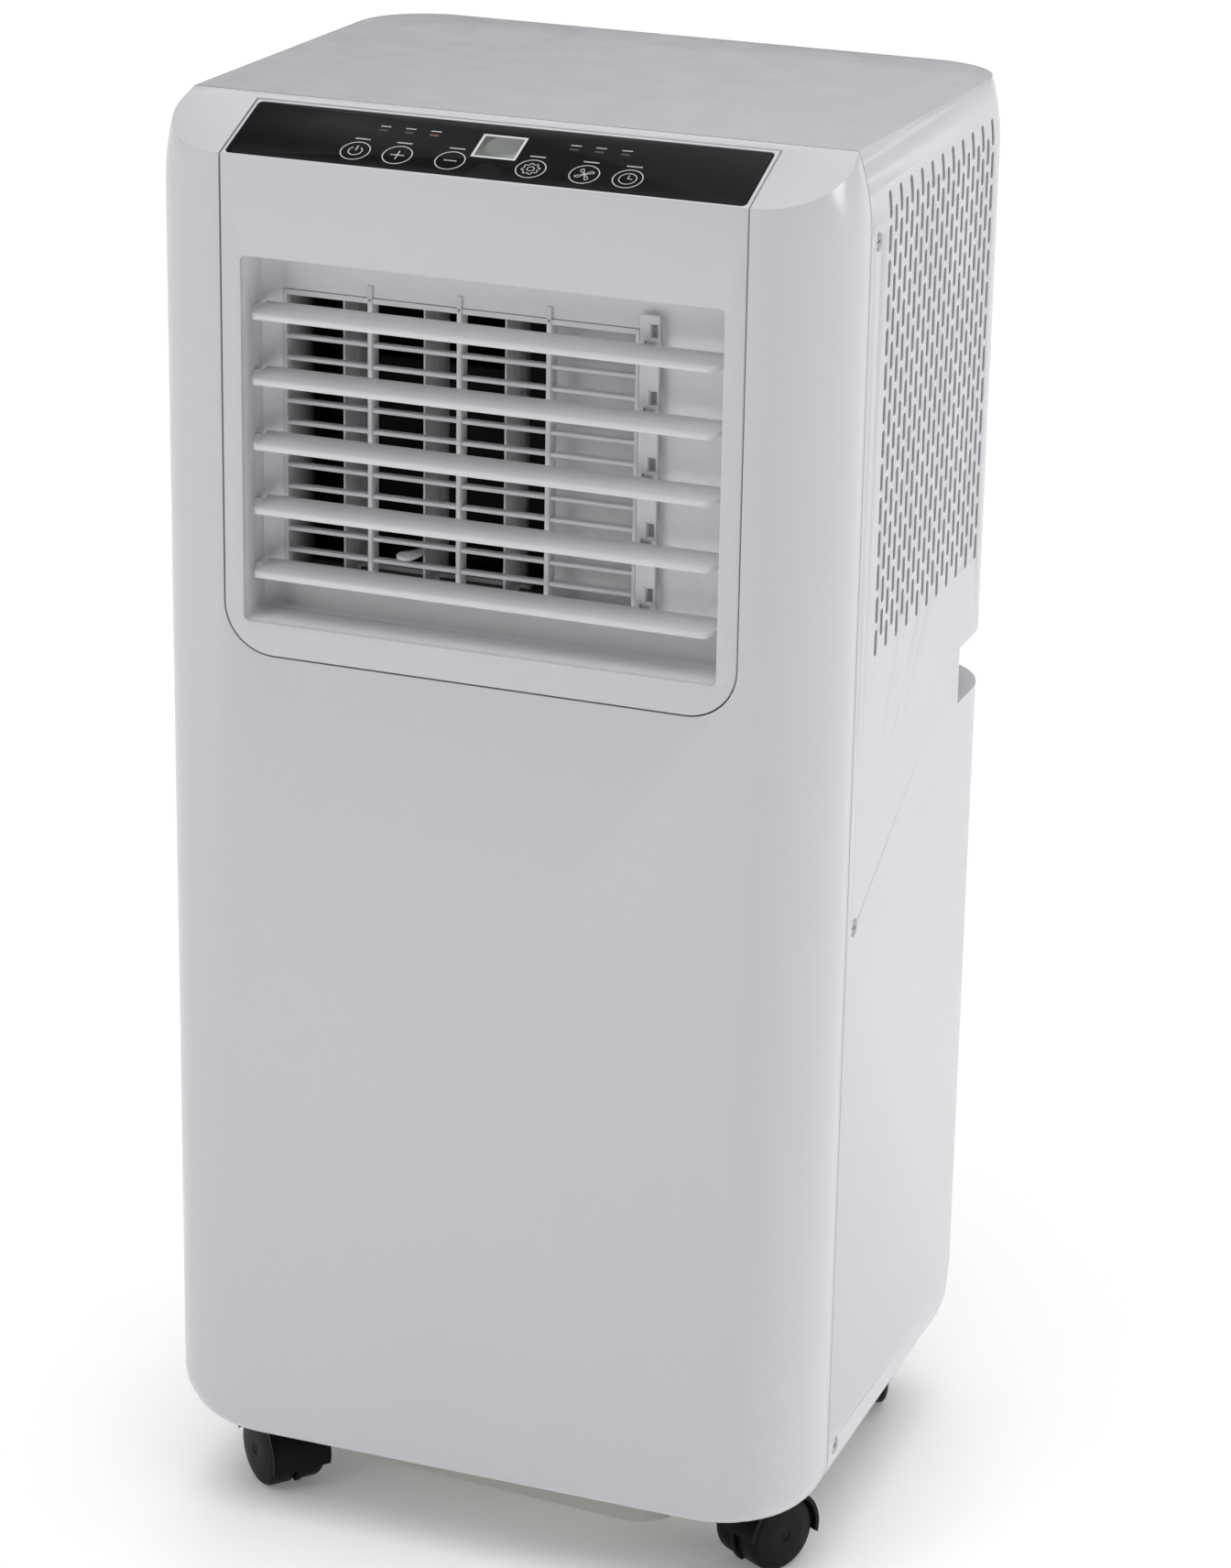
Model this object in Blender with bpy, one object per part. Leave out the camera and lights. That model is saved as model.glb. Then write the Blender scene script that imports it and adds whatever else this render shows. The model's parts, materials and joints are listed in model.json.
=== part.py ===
"""Portable air conditioner, built as it comes apart on a bench.

Lengths in this file are millimetres and become Blender's metres where a mesh is made. Every piece hangs
from the empty "cabinet": x runs across, y runs back from the front face, z runs up from the floor.
"""

import math

import bmesh
import bpy
from mathutils import Matrix, Vector

METRES = 0.001
GAP = 0.3
X, Y, Z = 0, 1, 2

# Casing
WIDTH = 325.0
DEPTH = 270.0
TOP = 690.0
BELLY = 44.3
WALL = 2.5
CORNER = 37.0
CORNER_STEPS = 6
SIDE_FOOT_ROUND = 21.0
FRONT_FOOT_ROUND = 5.0
BACK_FOOT_ROUND = 40.0
SHOULDER = 37.0
SHOULDER_INSET = 7.0
CREASE = 45.3
SLOPE = 0.4
ROOF_FALL = 6.0 / 210.0
COLLAR_STANDS = 8.0
FRONT = -(DEPTH + COLLAR_STANDS) / 2
HALF = WIDTH / 2

# Air outlet in the front panel
PANEL_HALF = 122.9
PANEL_FOOT = TOP - 247.9
PANEL_FAR = 41.0
PANEL_CORNER = 24.0
RECESS_HALF = 113.0
RECESS_LOW, RECESS_HIGH = TOP - 232.0, TOP - 63.0
RECESS_DEEP = 30.0
WINDOW_LEFT, WINDOW_RIGHT = -106.0, 64.0
WINDOW_LOW, WINDOW_HIGH = TOP - 220.0, TOP - 84.0
GRILLE_BACK = 34.0
BAR_PITCH = 10.0
BAR = 2.1
RIB = 2.4
RIBS = (-63.6, -20.8, 21.7)

# Louvres and vanes
LOUVRES = 5
LOUVRE_PITCH = 30.0
LOUVRE_TOP = TOP - 90.3
LOUVRE_TILT = 9.0
LOUVRE_DEEP = 15.0
LOUVRE_HALF = 110.5
PIN = 2.0
LINK_X = 70.0
LINK_ARM = 11.2
VANES = (-80.0, -41.0, -2.0)
VANE_DEEP = 52.0
VANE_LOW, VANE_HIGH = 473.0, 603.0
VANE_ARM = 10.0
LEVER_HEIGHT = 489.0
DUCT_FRONT, DUCT_BACK = 32.6, 92.0
DUCT_LOW, DUCT_HIGH = 469.0, 607.0

# Control strip on the sloping edge
STRIP_HALF = 120.4
STRIP_NEAR, STRIP_FAR = 1.1, 38.4
STRIP_THICK = 0.7
DISPLAY_HALF = 10.2
DISPLAY_NEAR, DISPLAY_FAR = 15.6, 31.4

# Side slots and screws
SLOT_COLUMNS = 11
SLOT_FIRST = 72.6
SLOT_PITCH = 15.36
SLOT_WIDE = 3.8
SLOT_LOW, SLOT_HIGH = TOP - 234.6, TOP - 22.0
SCREW_DEEP = 56.0
SCREW_HEIGHTS = (649.0, 331.5, 68.0)

# Hand grips in the rear corners
GRIP_LOW, GRIP_HIGH = 389.0, 417.0
GRIP_FRONT = 208.0
GRIP_INNER = 112.0
GRIP_DEEP = 12.0

# Rear openings
FILTER_UPPER = (110.0, 436.0, 646.0, 10)
FILTER_LOWER = (92.0, 88.0, 184.0, 5)
COLLAR_HEIGHT = 268.0
COLLAR_OUTER, COLLAR_INNER = 71.0, 68.5
PLUG_UPPER = (60.0, 392.0)
PLUG_LOWER = (-112.0, 100.0)
GLAND = (112.0, 110.0)

# Inside
DECK_HEIGHT = 345.0
PAN_HEIGHT = 52.0
TUB_HALF, TUB_FRONT, TUB_BACK = 92.0, 20.0, 228.5
TUB_LEFT_HEIGHT, TUB_RIGHT_HEIGHT = 34.5, 25.8
TUB_CORNER = 24.0
UPPER_FAN = (10.0, 480.0)
LOWER_FAN = (45.0, 150.0)
SCROLL_FRONT, SCROLL_BACK = 120.0, 176.0
COIL_FRONT, COIL_BACK = 192.0, 224.0
COMPRESSOR = (-85.0, 78.0)

# Casters: (x, depth, angle of the axle in degrees)
CASTERS = {
    "front_left": (-123.5, 47.5, 50.0),
    "front_right": (123.5, 47.5, 151.0),
    "rear_left": (-123.5, 217.0, 160.0),
    "rear_right": (123.5, 217.0, 205.0),
}
WHEEL = 19.0
WHEEL_INNER, WHEEL_OUTER = 6.5, 15.8
TRAIL = 10.0
HOOD_HALF = 15.3
SWEEP = 37.5

# Colours: (red, green, blue, roughness, metallic)
WHITE = (0.66, 0.66, 0.69, 0.38, 0.0)
BLACK_GLOSS = (0.012, 0.012, 0.016, 0.12, 0.0)
DISPLAY_GREY = (0.28, 0.31, 0.29, 0.2, 0.0)
PAN_GREY = (0.33, 0.33, 0.31, 0.55, 0.0)
CASTER_BLACK = (0.02, 0.02, 0.023, 0.45, 0.0)
BOARD_GREEN = (0.02, 0.13, 0.05, 0.5, 0.0)
DUCT_WHITE = (0.7, 0.7, 0.7, 0.6, 0.0)
STEEL = (0.55, 0.55, 0.56, 0.35, 1.0)
FIN = (0.75, 0.76, 0.78, 0.4, 1.0)
COPPER = (0.72, 0.36, 0.2, 0.3, 1.0)
BLACK_PAINT = (0.015, 0.015, 0.015, 0.4, 0.0)
MESH_GREY = (0.12, 0.12, 0.13, 0.7, 0.0)


# ---------------------------------------------------------------- shapes


def box(low, high):
    """A block between two corners."""
    shape = bmesh.new()
    size = [b - a for a, b in zip(low, high)]
    middle = [(a + b) / 2 for a, b in zip(low, high)]
    matrix = Matrix.Translation(middle) @ Matrix.Diagonal((*size, 1.0))
    bmesh.ops.create_cube(shape, size=1.0, matrix=matrix)
    return shape


def loft(rings):
    """A closed skin through rings of equal point counts, capped at both ends."""
    shape = bmesh.new()
    rows = [[shape.verts.new(point) for point in ring] for ring in rings]
    count = len(rows[0])
    for lower, upper in zip(rows, rows[1:]):
        for i in range(count):
            j = (i + 1) % count
            shape.faces.new((lower[i], lower[j], upper[j], upper[i]))
    shape.faces.new(reversed(rows[0]))
    shape.faces.new(rows[-1])
    bmesh.ops.recalc_face_normals(shape, faces=shape.faces)
    return shape


def prism(outline, start, end, axis):
    """An outline in the two other axes, drawn out along one axis."""

    def at(point, along):
        place = list(point)
        place.insert(axis, along)
        return place

    return loft([[at(p, start) for p in outline], [at(p, end) for p in outline]])


def circle(centre, radius, sides, first=0.0):
    step = 2 * math.pi / sides
    angles = [first + i * step for i in range(sides)]
    return [(centre[0] + radius * math.cos(a), centre[1] + radius * math.sin(a)) for a in angles]


def rod(centre, radius, start, end, axis, sides=16):
    """A round bar along one axis; centre is given in the two other axes."""
    return prism(circle(centre, radius, sides), start, end, axis)


def turned(profile, centre, axis, sides, first=0.0):
    """A closed (radius, along) outline turned about a line along the axis through centre."""
    shape = bmesh.new()
    columns = []
    for turn in circle((0.0, 0.0), 1.0, sides, first):
        column = []
        for radius, along in profile:
            place = [centre[0] + radius * turn[0], centre[1] + radius * turn[1]]
            place.insert(axis, along)
            column.append(shape.verts.new(place))
        columns.append(column)
    count = len(profile)
    for i, column in enumerate(columns):
        following = columns[(i + 1) % sides]
        for a in range(count):
            b = (a + 1) % count
            shape.faces.new((column[a], column[b], following[b], following[a]))
    bmesh.ops.remove_doubles(shape, verts=shape.verts, dist=1e-5)
    bmesh.ops.dissolve_degenerate(shape, edges=shape.edges, dist=1e-5)
    bmesh.ops.recalc_face_normals(shape, faces=shape.faces)
    return shape


def together(*shapes):
    """Shapes that don't touch, in one."""
    whole = bmesh.new()
    for shape in shapes:
        mesh = bpy.data.meshes.new("part")
        shape.to_mesh(mesh)
        whole.from_mesh(mesh)
        bpy.data.meshes.remove(mesh)
    return whole


def rounded(low, high, radius, steps):
    """A rectangle from low to high with rounded corners, anticlockwise."""
    corners = (
        (high[0] - radius, low[1] + radius, -90),
        (high[0] - radius, high[1] - radius, 0),
        (low[0] + radius, high[1] - radius, 90),
        (low[0] + radius, low[1] + radius, 180),
    )
    points = []
    for x, y, first in corners:
        for i in range(steps + 1):
            a = math.radians(first + 90 * i / steps)
            points.append((x + radius * math.cos(a), y + radius * math.sin(a)))
    return points


# ---------------------------------------------------------------- objects


def material(name, look):
    made = bpy.data.materials.new(name)
    made.use_nodes = True
    shader = made.node_tree.nodes["Principled BSDF"]
    shader.inputs["Base Color"].default_value = (*look[:3], 1.0)
    shader.inputs["Roughness"].default_value = look[3]
    shader.inputs["Metallic"].default_value = look[4]
    return made


def place(obj, at, turn):
    obj.location = Vector(at) * METRES
    obj.rotation_euler = (0.0, 0.0, math.radians(turn))
    obj.parent = CABINET
    bpy.context.scene.collection.objects.link(obj)


def mesh_object(name, shape, at, turn):
    bmesh.ops.scale(shape, vec=(METRES,) * 3, verts=shape.verts)
    mesh = bpy.data.meshes.new(name)
    shape.to_mesh(mesh)
    shape.free()
    mesh.shade_smooth()
    mesh.set_sharp_from_angle(angle=math.radians(35))
    obj = bpy.data.objects.new(name, mesh)
    place(obj, at, turn)
    return obj


def helper(name, shape, at=(0, 0, 0), turn=0.0):
    obj = mesh_object(name, shape, at, turn)
    obj.hide_render = True
    obj.display_type = "WIRE"
    return obj


def combine(obj, operation, tool):
    modifier = obj.modifiers.new(operation.title(), "BOOLEAN")
    modifier.operation = operation
    modifier.solver = "EXACT"
    modifier.object = tool


def piece(name, look, add, cut=(), at=(0, 0, 0), turn=0.0):
    """A named piece: the first shape of add, joined with the others, less each of cut."""
    obj = mesh_object(name, add[0], at, turn)
    obj.data.materials.append(material(name, look))
    for operation, shapes in (("UNION", add[1:]), ("DIFFERENCE", cut)):
        for i, shape in enumerate(shapes):
            tool = shape
            if isinstance(shape, bmesh.types.BMesh):
                tool = helper(f"{name}_{operation.lower()}_{i}", shape, at, turn)
            combine(obj, operation, tool)
    return obj


# ---------------------------------------------------------------- casing surfaces


def foot_inset(radius, skin, height):
    """How far a foot rounding draws the wall in, at a height above the casing's underside."""
    if height >= radius:
        return skin
    reach = (radius - skin) ** 2 - (radius - height) ** 2
    return radius - math.sqrt(max(reach, 0.0))


def shoulder_inset(z):
    share = max(z - (TOP - SHOULDER), 0.0) / SHOULDER
    return SHOULDER_INSET * share * share


def casing(skin):
    """The casing's solid outline, drawn in by skin all over; its roof is cut by roof()."""
    lift = BACK_FOOT_ROUND - skin
    heights = [skin + lift * (1 - math.cos(math.radians(a))) for a in (0, 15, 30, 45, 60, 75, 90)]
    levels = [BELLY + h for h in heights]
    levels += [TOP - SHOULDER * share for share in (1.0, 0.66, 0.33, 0.0)]
    levels.append(TOP + 4.0)
    rings = []
    for z in levels:
        h = z - BELLY
        side = HALF - shoulder_inset(z) - foot_inset(SIDE_FOOT_ROUND, skin, h)
        near = foot_inset(FRONT_FOOT_ROUND, skin, h)
        far = DEPTH - foot_inset(BACK_FOOT_ROUND, skin, h)
        outline = rounded((-side, near), (side, far), CORNER - skin, CORNER_STEPS)
        rings.append([(x, y, z) for x, y in outline])
    return loft(rings)


def roof_height(y):
    if y < CREASE:
        return TOP - (CREASE - y) * SLOPE
    return TOP - (y - CREASE) * ROOF_FALL


def roof(skin, near, far):
    """All that lies under the sloping edge and the top, between two depths."""
    depths = [near, *([CREASE] if near < CREASE < far else []), far]
    outline = [(y, roof_height(y) - skin) for y in depths]
    outline += [(far, 0.0), (near, 0.0)]
    return prism(outline, -HALF - 20, HALF + 20, X)


def hollow(name):
    """The space inside the casing's wall."""
    space = helper(name, casing(WALL))
    combine(space, "INTERSECT", helper(f"{name}_roof", roof(WALL, -10.0, DEPTH + 10)))
    return space


def panel_outline(shrink):
    """The front panel from the front: square at the crease, rounded below."""
    half = PANEL_HALF - shrink
    radius = PANEL_CORNER - shrink
    low = PANEL_FOOT + shrink
    lower = rounded((-half, low), (half, low + 4 * radius), radius, CORNER_STEPS)
    count = CORNER_STEPS + 1
    return [(half, TOP + 20), (-half, TOP + 20), *lower[3 * count:], *lower[:count]]


def floor_opening():
    return box((-141, 6, 0), (141, 229, BELLY + WALL + 0.5))


def front_shell():
    shell = mesh_object("front_shell", casing(0.0), (0, 0, 0), 0.0)
    shell.data.materials.append(material("front_shell", WHITE))
    combine(shell, "INTERSECT", helper("front_half", roof(0.0, -10.0, CREASE - GAP / 2)))
    combine(shell, "DIFFERENCE", hollow("front_hollow"))
    opening = prism(panel_outline(0.0), -10.0, PANEL_FAR, Y)
    combine(shell, "DIFFERENCE", helper("panel_opening", opening))
    combine(shell, "DIFFERENCE", helper("front_floor", floor_opening()))


def grip_housing(side):
    """A thick band inside the rear corner, into which the finger pocket is sunk."""
    low, high = sorted((side * (GRIP_INNER - 6), side * (HALF + 10)))
    band = box((low, GRIP_FRONT - 6, GRIP_LOW - 6), (high, DEPTH + 10, GRIP_HIGH + 6))
    name = f"grip_housing_{side:+d}"
    housing = helper(name, band)
    combine(housing, "INTERSECT", helper(f"{name}_outer", casing(1.0)))
    combine(housing, "DIFFERENCE", helper(f"{name}_inner", casing(GRIP_DEEP + WALL)))
    return housing


def grip_pocket(side):
    low, high = sorted((side * GRIP_INNER, side * (HALF + 10)))
    name = f"grip_pocket_{side:+d}"
    pocket = helper(name, box((low, GRIP_FRONT, GRIP_LOW), (high, DEPTH + 10, GRIP_HIGH)))
    combine(pocket, "DIFFERENCE", helper(f"{name}_inner", casing(GRIP_DEEP)))
    return pocket


def side_slots():
    """Long intake slots through both side walls, one for each pair of columns."""
    slots = []
    for i in range(SLOT_COLUMNS):
        y = SLOT_FIRST + i * SLOT_PITCH - SLOT_WIDE / 2
        for side in (-1, 1):
            low, high = sorted((side * (HALF - 14), side * (HALF + 5)))
            slots.append(box((low, y, SLOT_LOW), (high, y + SLOT_WIDE, SLOT_HIGH)))
    return together(*slots)


def screw_seats():
    """Stepped round holes for the screws that join the two shells."""
    seats = []
    for z in SCREW_HEIGHTS:
        for side in (-1, 1):
            face = side * (HALF - 1.3)
            outer = sorted((face, side * (HALF + 5)))
            inner = sorted((face + side * 0.1, side * (HALF - 6)))
            seats.append(rod((SCREW_DEEP, z), 4.4, *outer, X, 12))
            seats.append(rod((SCREW_DEEP, z), 2.1, *inner, X, 8))
    return seats


def rear_shell():
    shell = mesh_object("rear_shell", casing(0.0), (0, 0, 0), 0.0)
    shell.data.materials.append(material("rear_shell", WHITE))
    combine(shell, "INTERSECT", helper("rear_half", roof(0.0, CREASE + GAP / 2, DEPTH + 10)))
    combine(shell, "DIFFERENCE", hollow("rear_hollow"))
    for side in (-1, 1):
        combine(shell, "UNION", grip_housing(side))
        combine(shell, "DIFFERENCE", grip_pocket(side))
    back = (DEPTH - WALL - 5, DEPTH + 5)
    openings = [
        rod((0, COLLAR_HEIGHT), COLLAR_OUTER + 0.4, *back, Y, 32),
        rod(PLUG_UPPER, 6.3, *back, Y, 12),
        rod(PLUG_LOWER, 6.3, *back, Y, 12),
        rod(GLAND, 7.3, *back, Y, 12),
    ]
    for half, low, high, _ in (FILTER_UPPER, FILTER_LOWER):
        openings.append(box((-half, back[0], low), (half, back[1], high)))
    combine(shell, "DIFFERENCE", helper("rear_openings", together(*openings)))
    combine(shell, "DIFFERENCE", helper("side_slots", side_slots()))
    seats = screw_seats()
    combine(shell, "DIFFERENCE", helper("screw_heads", together(*seats[0::2])))
    combine(shell, "DIFFERENCE", helper("screw_shanks", together(*seats[1::2])))
    combine(shell, "DIFFERENCE", helper("rear_floor", floor_opening()))


def side_screws():
    """Pan head screws, three a side, sunk in the rear shell's wall."""
    for side, word in ((-1, "left"), (1, "right")):
        for i, z in enumerate(SCREW_HEIGHTS):
            face = side * (HALF - 1.0)
            head = rod((SCREW_DEEP, z), 3.9, *sorted((face, face + side * 0.8)), X, 12)
            shank = rod((SCREW_DEEP, z), 1.8, *sorted((face + side * 0.4, face - side * 10)), X, 8)
            piece(f"side_screw_{word}_{i + 1}", STEEL, [head, shank])


# ---------------------------------------------------------------- front panel and air outlet


def slope_plate(near, far, top, bottom, half):
    """A plate lying under the sloping edge, between two depths below its surface."""
    outline = [
        (near, roof_height(near) - top),
        (far, roof_height(far) - top),
        (far, roof_height(far) - bottom),
        (near, roof_height(near) - bottom),
    ]
    return prism(outline, -half, half, X)


def louvre_height(i):
    return LOUVRE_TOP - i * LOUVRE_PITCH


def outlet_panel():
    edge = PANEL_FAR - GAP
    skin = [
        (0.0, PANEL_FOOT),
        (0.0, roof_height(0.0)),
        (edge, roof_height(edge)),
        (edge, roof_height(edge) - WALL - 0.2),
        (WALL, roof_height(WALL) - WALL - 0.2),
        (WALL, PANEL_FOOT),
    ]
    panel = mesh_object("outlet_panel", prism(skin, -HALF, HALF, X), (0, 0, 0), 0.0)
    panel.data.materials.append(material("outlet_panel", WHITE))
    outline = prism(panel_outline(GAP), -10.0, CREASE + 20, Y)
    combine(panel, "INTERSECT", helper("panel_edge", outline))
    tub = box(
        (-RECESS_HALF - WALL, 1.0, RECESS_LOW - WALL),
        (RECESS_HALF + WALL, RECESS_DEEP + 2, RECESS_HIGH + WALL),
    )
    combine(panel, "UNION", helper("recess_tub", tub))
    recess = box((-RECESS_HALF, -5, RECESS_LOW), (RECESS_HALF, RECESS_DEEP, RECESS_HIGH))
    combine(panel, "DIFFERENCE", helper("recess", recess))
    window = box(
        (WINDOW_LEFT, RECESS_DEEP - 1, WINDOW_LOW),
        (WINDOW_RIGHT, RECESS_DEEP + 5, WINDOW_HIGH),
    )
    combine(panel, "DIFFERENCE", helper("grille_window", window))
    half = RECESS_HALF + 5
    holes = [rod((LOUVRE_DEEP, louvre_height(i)), PIN + 0.3, -half, half, X, 14) for i in range(LOUVRES)]
    combine(panel, "DIFFERENCE", helper("louvre_holes", together(*holes)))
    pocket = slope_plate(STRIP_NEAR - GAP, STRIP_FAR + GAP, -5, STRIP_THICK + GAP, STRIP_HALF + GAP)
    combine(panel, "DIFFERENCE", helper("strip_pocket", pocket))


def control_strip():
    strip = slope_plate(STRIP_NEAR, STRIP_FAR, 0.0, STRIP_THICK, STRIP_HALF)
    hole = slope_plate(
        DISPLAY_NEAR - GAP, DISPLAY_FAR + GAP, -2, STRIP_THICK + 2, DISPLAY_HALF + GAP
    )
    piece("control_overlay", BLACK_GLOSS, [strip], [hole])
    window = slope_plate(DISPLAY_NEAR, DISPLAY_FAR, 0.0, STRIP_THICK, DISPLAY_HALF)
    piece("display_window", DISPLAY_GREY, [window])
    piece("control_board", BOARD_GREEN, [slope_plate(8.0, 40.0, 9.0, 10.6, 95.0)])


def outlet_grille():
    """Fixed guard behind the louvres: thin level bars crossed by three ribs."""
    left, right = WINDOW_LEFT + GAP, WINDOW_RIGHT - GAP
    low, high = WINDOW_LOW + GAP, WINDOW_HIGH - GAP
    plate = box((left, RECESS_DEEP - 0.6, low), (right, GRILLE_BACK, high))
    edges = [left + BAR - RIB / 2, *RIBS, right - BAR + RIB / 2]
    gaps = []
    z = WINDOW_HIGH - 1.9 - BAR / 2
    while z > low + BAR:
        bottom = max(z - BAR_PITCH + BAR, low + BAR)
        for a, b in zip(edges, edges[1:]):
            gaps.append(box((a + RIB / 2, 20, bottom), (b - RIB / 2, 50, z)))
        z -= BAR_PITCH
    ridge_top = WINDOW_HIGH + 5.4
    ridges = [
        box((x - RIB / 2, RECESS_DEEP - 1.2, low + 1), (x + RIB / 2, RECESS_DEEP - GAP, ridge_top))
        for x in RIBS
    ]
    grille = [plate, *ridges]
    piece("outlet_grille", WHITE, grille, [together(*gaps)])


def louvre_section():
    """Blade seen from its end about its pivot: a blunt lip, a little low, and a thin back edge."""
    outline = [
        (-10.0, -0.5), (-9.6, -1.2), (-8.4, -1.5), (7.0, -0.9), (8.0, -0.5),
        (8.0, 0.5), (7.0, 0.9), (-8.4, 1.5), (-9.6, 1.3), (-10.0, 0.6),
    ]  # fmt: skip
    rise, run = math.sin(math.radians(LOUVRE_TILT)), math.cos(math.radians(LOUVRE_TILT))
    return [(y * run - z * rise, y * rise + z * run) for y, z in outline]


def louvres():
    """Five blades that tilt together on end pins, each with an ear for the link bar."""
    for i in range(LOUVRES):
        blade = prism(louvre_section(), -LOUVRE_HALF, LOUVRE_HALF, X)
        pins = [rod((0, 0), PIN, a, b, X, 12) for a, b in ((-114.6, -109), (109, 114.6))]
        ear = box((LINK_X - 2, 2.0, -0.6), (LINK_X + 2, LINK_ARM + 1, 0.6))
        at = (0, LOUVRE_DEEP, louvre_height(i))
        piece(f"louvre_{i + 1}", WHITE, [blade, *pins, ear], at=at)


def louvre_link():
    """Upright bar that ties the ears of all the louvres."""
    at = (LINK_X, LOUVRE_DEEP + LINK_ARM, louvre_height(2))
    reach = 2 * LOUVRE_PITCH
    bar = box((-4.5, -1.3, -reach - 9), (4.5, 1.7, reach + 14))
    windows = [
        box((-3, -5, k * LOUVRE_PITCH - 3.7), (3, 5, k * LOUVRE_PITCH + 3.7)) for k in range(-2, 3)
    ]
    piece("louvre_link", WHITE, [bar], [together(*windows)], at=at)


def vanes():
    """Three upright vanes behind the grille; the middle one carries the finger lever."""
    for i, x in enumerate(VANES):
        blade = prism(
            [(-0.5, -14), (0.5, -14), (0.9, -4), (0.9, 4), (0.5, 14), (-0.5, 14), (-0.9, 4), (-0.9, -4)],
            VANE_LOW,
            VANE_HIGH,
            Z,
        )
        shapes = [
            blade,
            rod((0, 0), 1.8, DUCT_LOW - 2, VANE_LOW + 1, Z, 12),
            rod((0, 0), 1.8, VANE_HIGH - 1, DUCT_HIGH + 2, Z, 12),
            rod((0, VANE_ARM), 1.0, VANE_LOW - 2.8, VANE_LOW + 1, Z, 8),
        ]
        if i == 1:
            leaf = [(-1.2, -12), (-4.5, -18), (-8.5, -22), (-8.0, -27), (-4.5, -29.5)]
            leaf += [(-0.5, -27), (1.0, -21), (1.2, -12)]
            shapes.append(prism(leaf, LEVER_HEIGHT - 0.8, LEVER_HEIGHT + 0.8, Z))
        piece(f"vane_{i + 1}", WHITE, shapes, at=(x, VANE_DEEP, 0))


def vane_link():
    at = (VANES[1], VANE_DEEP + VANE_ARM, 0)
    reach = VANES[2] - VANES[1]
    bar = box((-reach - 4, -2.4, VANE_LOW - 3.1), (reach + 4, 2.4, VANE_LOW - 1.1))
    holes = [rod((k * reach, 0), 1.35, VANE_LOW - 10, VANE_LOW, Z, 8) for k in (-1, 0, 1)]
    piece("vane_link", WHITE, [bar], [together(*holes)], at=at)


def outlet_duct():
    """Air passage from the fan to the grille, closed behind the grille's right end."""
    left, right = WINDOW_LEFT - 1, WINDOW_RIGHT + 1
    outer = box(
        (left - WALL, DUCT_FRONT, DUCT_LOW - WALL), (right + WALL, DUCT_BACK, DUCT_HIGH + WALL)
    )
    split, cheek = 18.5, 44.0
    cuts = [
        box((left, 20, DUCT_LOW), (split, DUCT_BACK - 2, DUCT_HIGH)),
        box((split - 1, 20, DUCT_LOW), (right, cheek, DUCT_HIGH)),
        box((split + 1.5, cheek + 1.5, DUCT_LOW), (right, DUCT_BACK + 5, DUCT_HIGH)),
        box((-92, DUCT_BACK - 5, 562), (-22, DUCT_BACK + 5, DUCT_HIGH - 2)),
    ]
    holes = [rod((x, VANE_DEEP), 2.1, DUCT_LOW - 5, DUCT_HIGH + 5, Z, 12) for x in VANES]
    piece("outlet_duct", DUCT_WHITE, [outer], [*cuts, together(*holes)])


# ---------------------------------------------------------------- fans


def scroll_outline(centre, tongue, growth, top, skin):
    """Fan housing seen from the front: a spiral that opens into an upright neck."""
    cx, cz = centre
    points = []
    steps = 20
    for i in range(steps + 1):
        share = i / steps
        a = math.radians(110 - 290 * share)
        r = tongue + growth * share - skin
        points.append((cx + r * math.cos(a), cz + r * math.sin(a)))
    points.append((cx - tongue - growth + skin, top - skin))
    points.append((cx + (tongue - skin) * math.cos(math.radians(110)), top - skin))
    return points


def scroll(name, fan, tongue, growth, top, snout, mouth, suction):
    """Two-walled spiral with a round suction hole behind, a motor hole in front and a snout."""
    outer = prism(scroll_outline(fan, tongue, growth, top, 0.0), SCROLL_FRONT, SCROLL_BACK, Y)
    inner = prism(
        scroll_outline(fan, tongue, growth, top, 2.0), SCROLL_FRONT + 2, SCROLL_BACK - 2, Y
    )
    cuts = [
        inner,
        box(*mouth),
        rod(fan, suction, SCROLL_BACK - 5, SCROLL_BACK + 5, Y, 24),
        rod(fan, 12.0, SCROLL_FRONT - 5, SCROLL_FRONT + 5, Y, 12),
    ]
    piece(name, DUCT_WHITE, [outer, box(*snout)], cuts)


def fan_scrolls():
    scroll(
        "upper_scroll", UPPER_FAN, 74.0, 30.0, 611.0,
        ((-94, DUCT_BACK + GAP, 558), (-18, SCROLL_FRONT + 1, 609)),
        ((-92, DUCT_BACK - 5, 560), (-20, SCROLL_FRONT + 5, 607)),
        52.0,
    )  # fmt: skip
    scroll(
        "lower_scroll", LOWER_FAN, 60.0, 24.0, 335.0,
        ((-39, SCROLL_BACK - 1, 220), (24.5, COIL_FRONT - GAP, 333)),
        ((-37, SCROLL_BACK - 5, 222), (22.5, COIL_FRONT + 5, 331)),
        40.0,
    )  # fmt: skip


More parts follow.
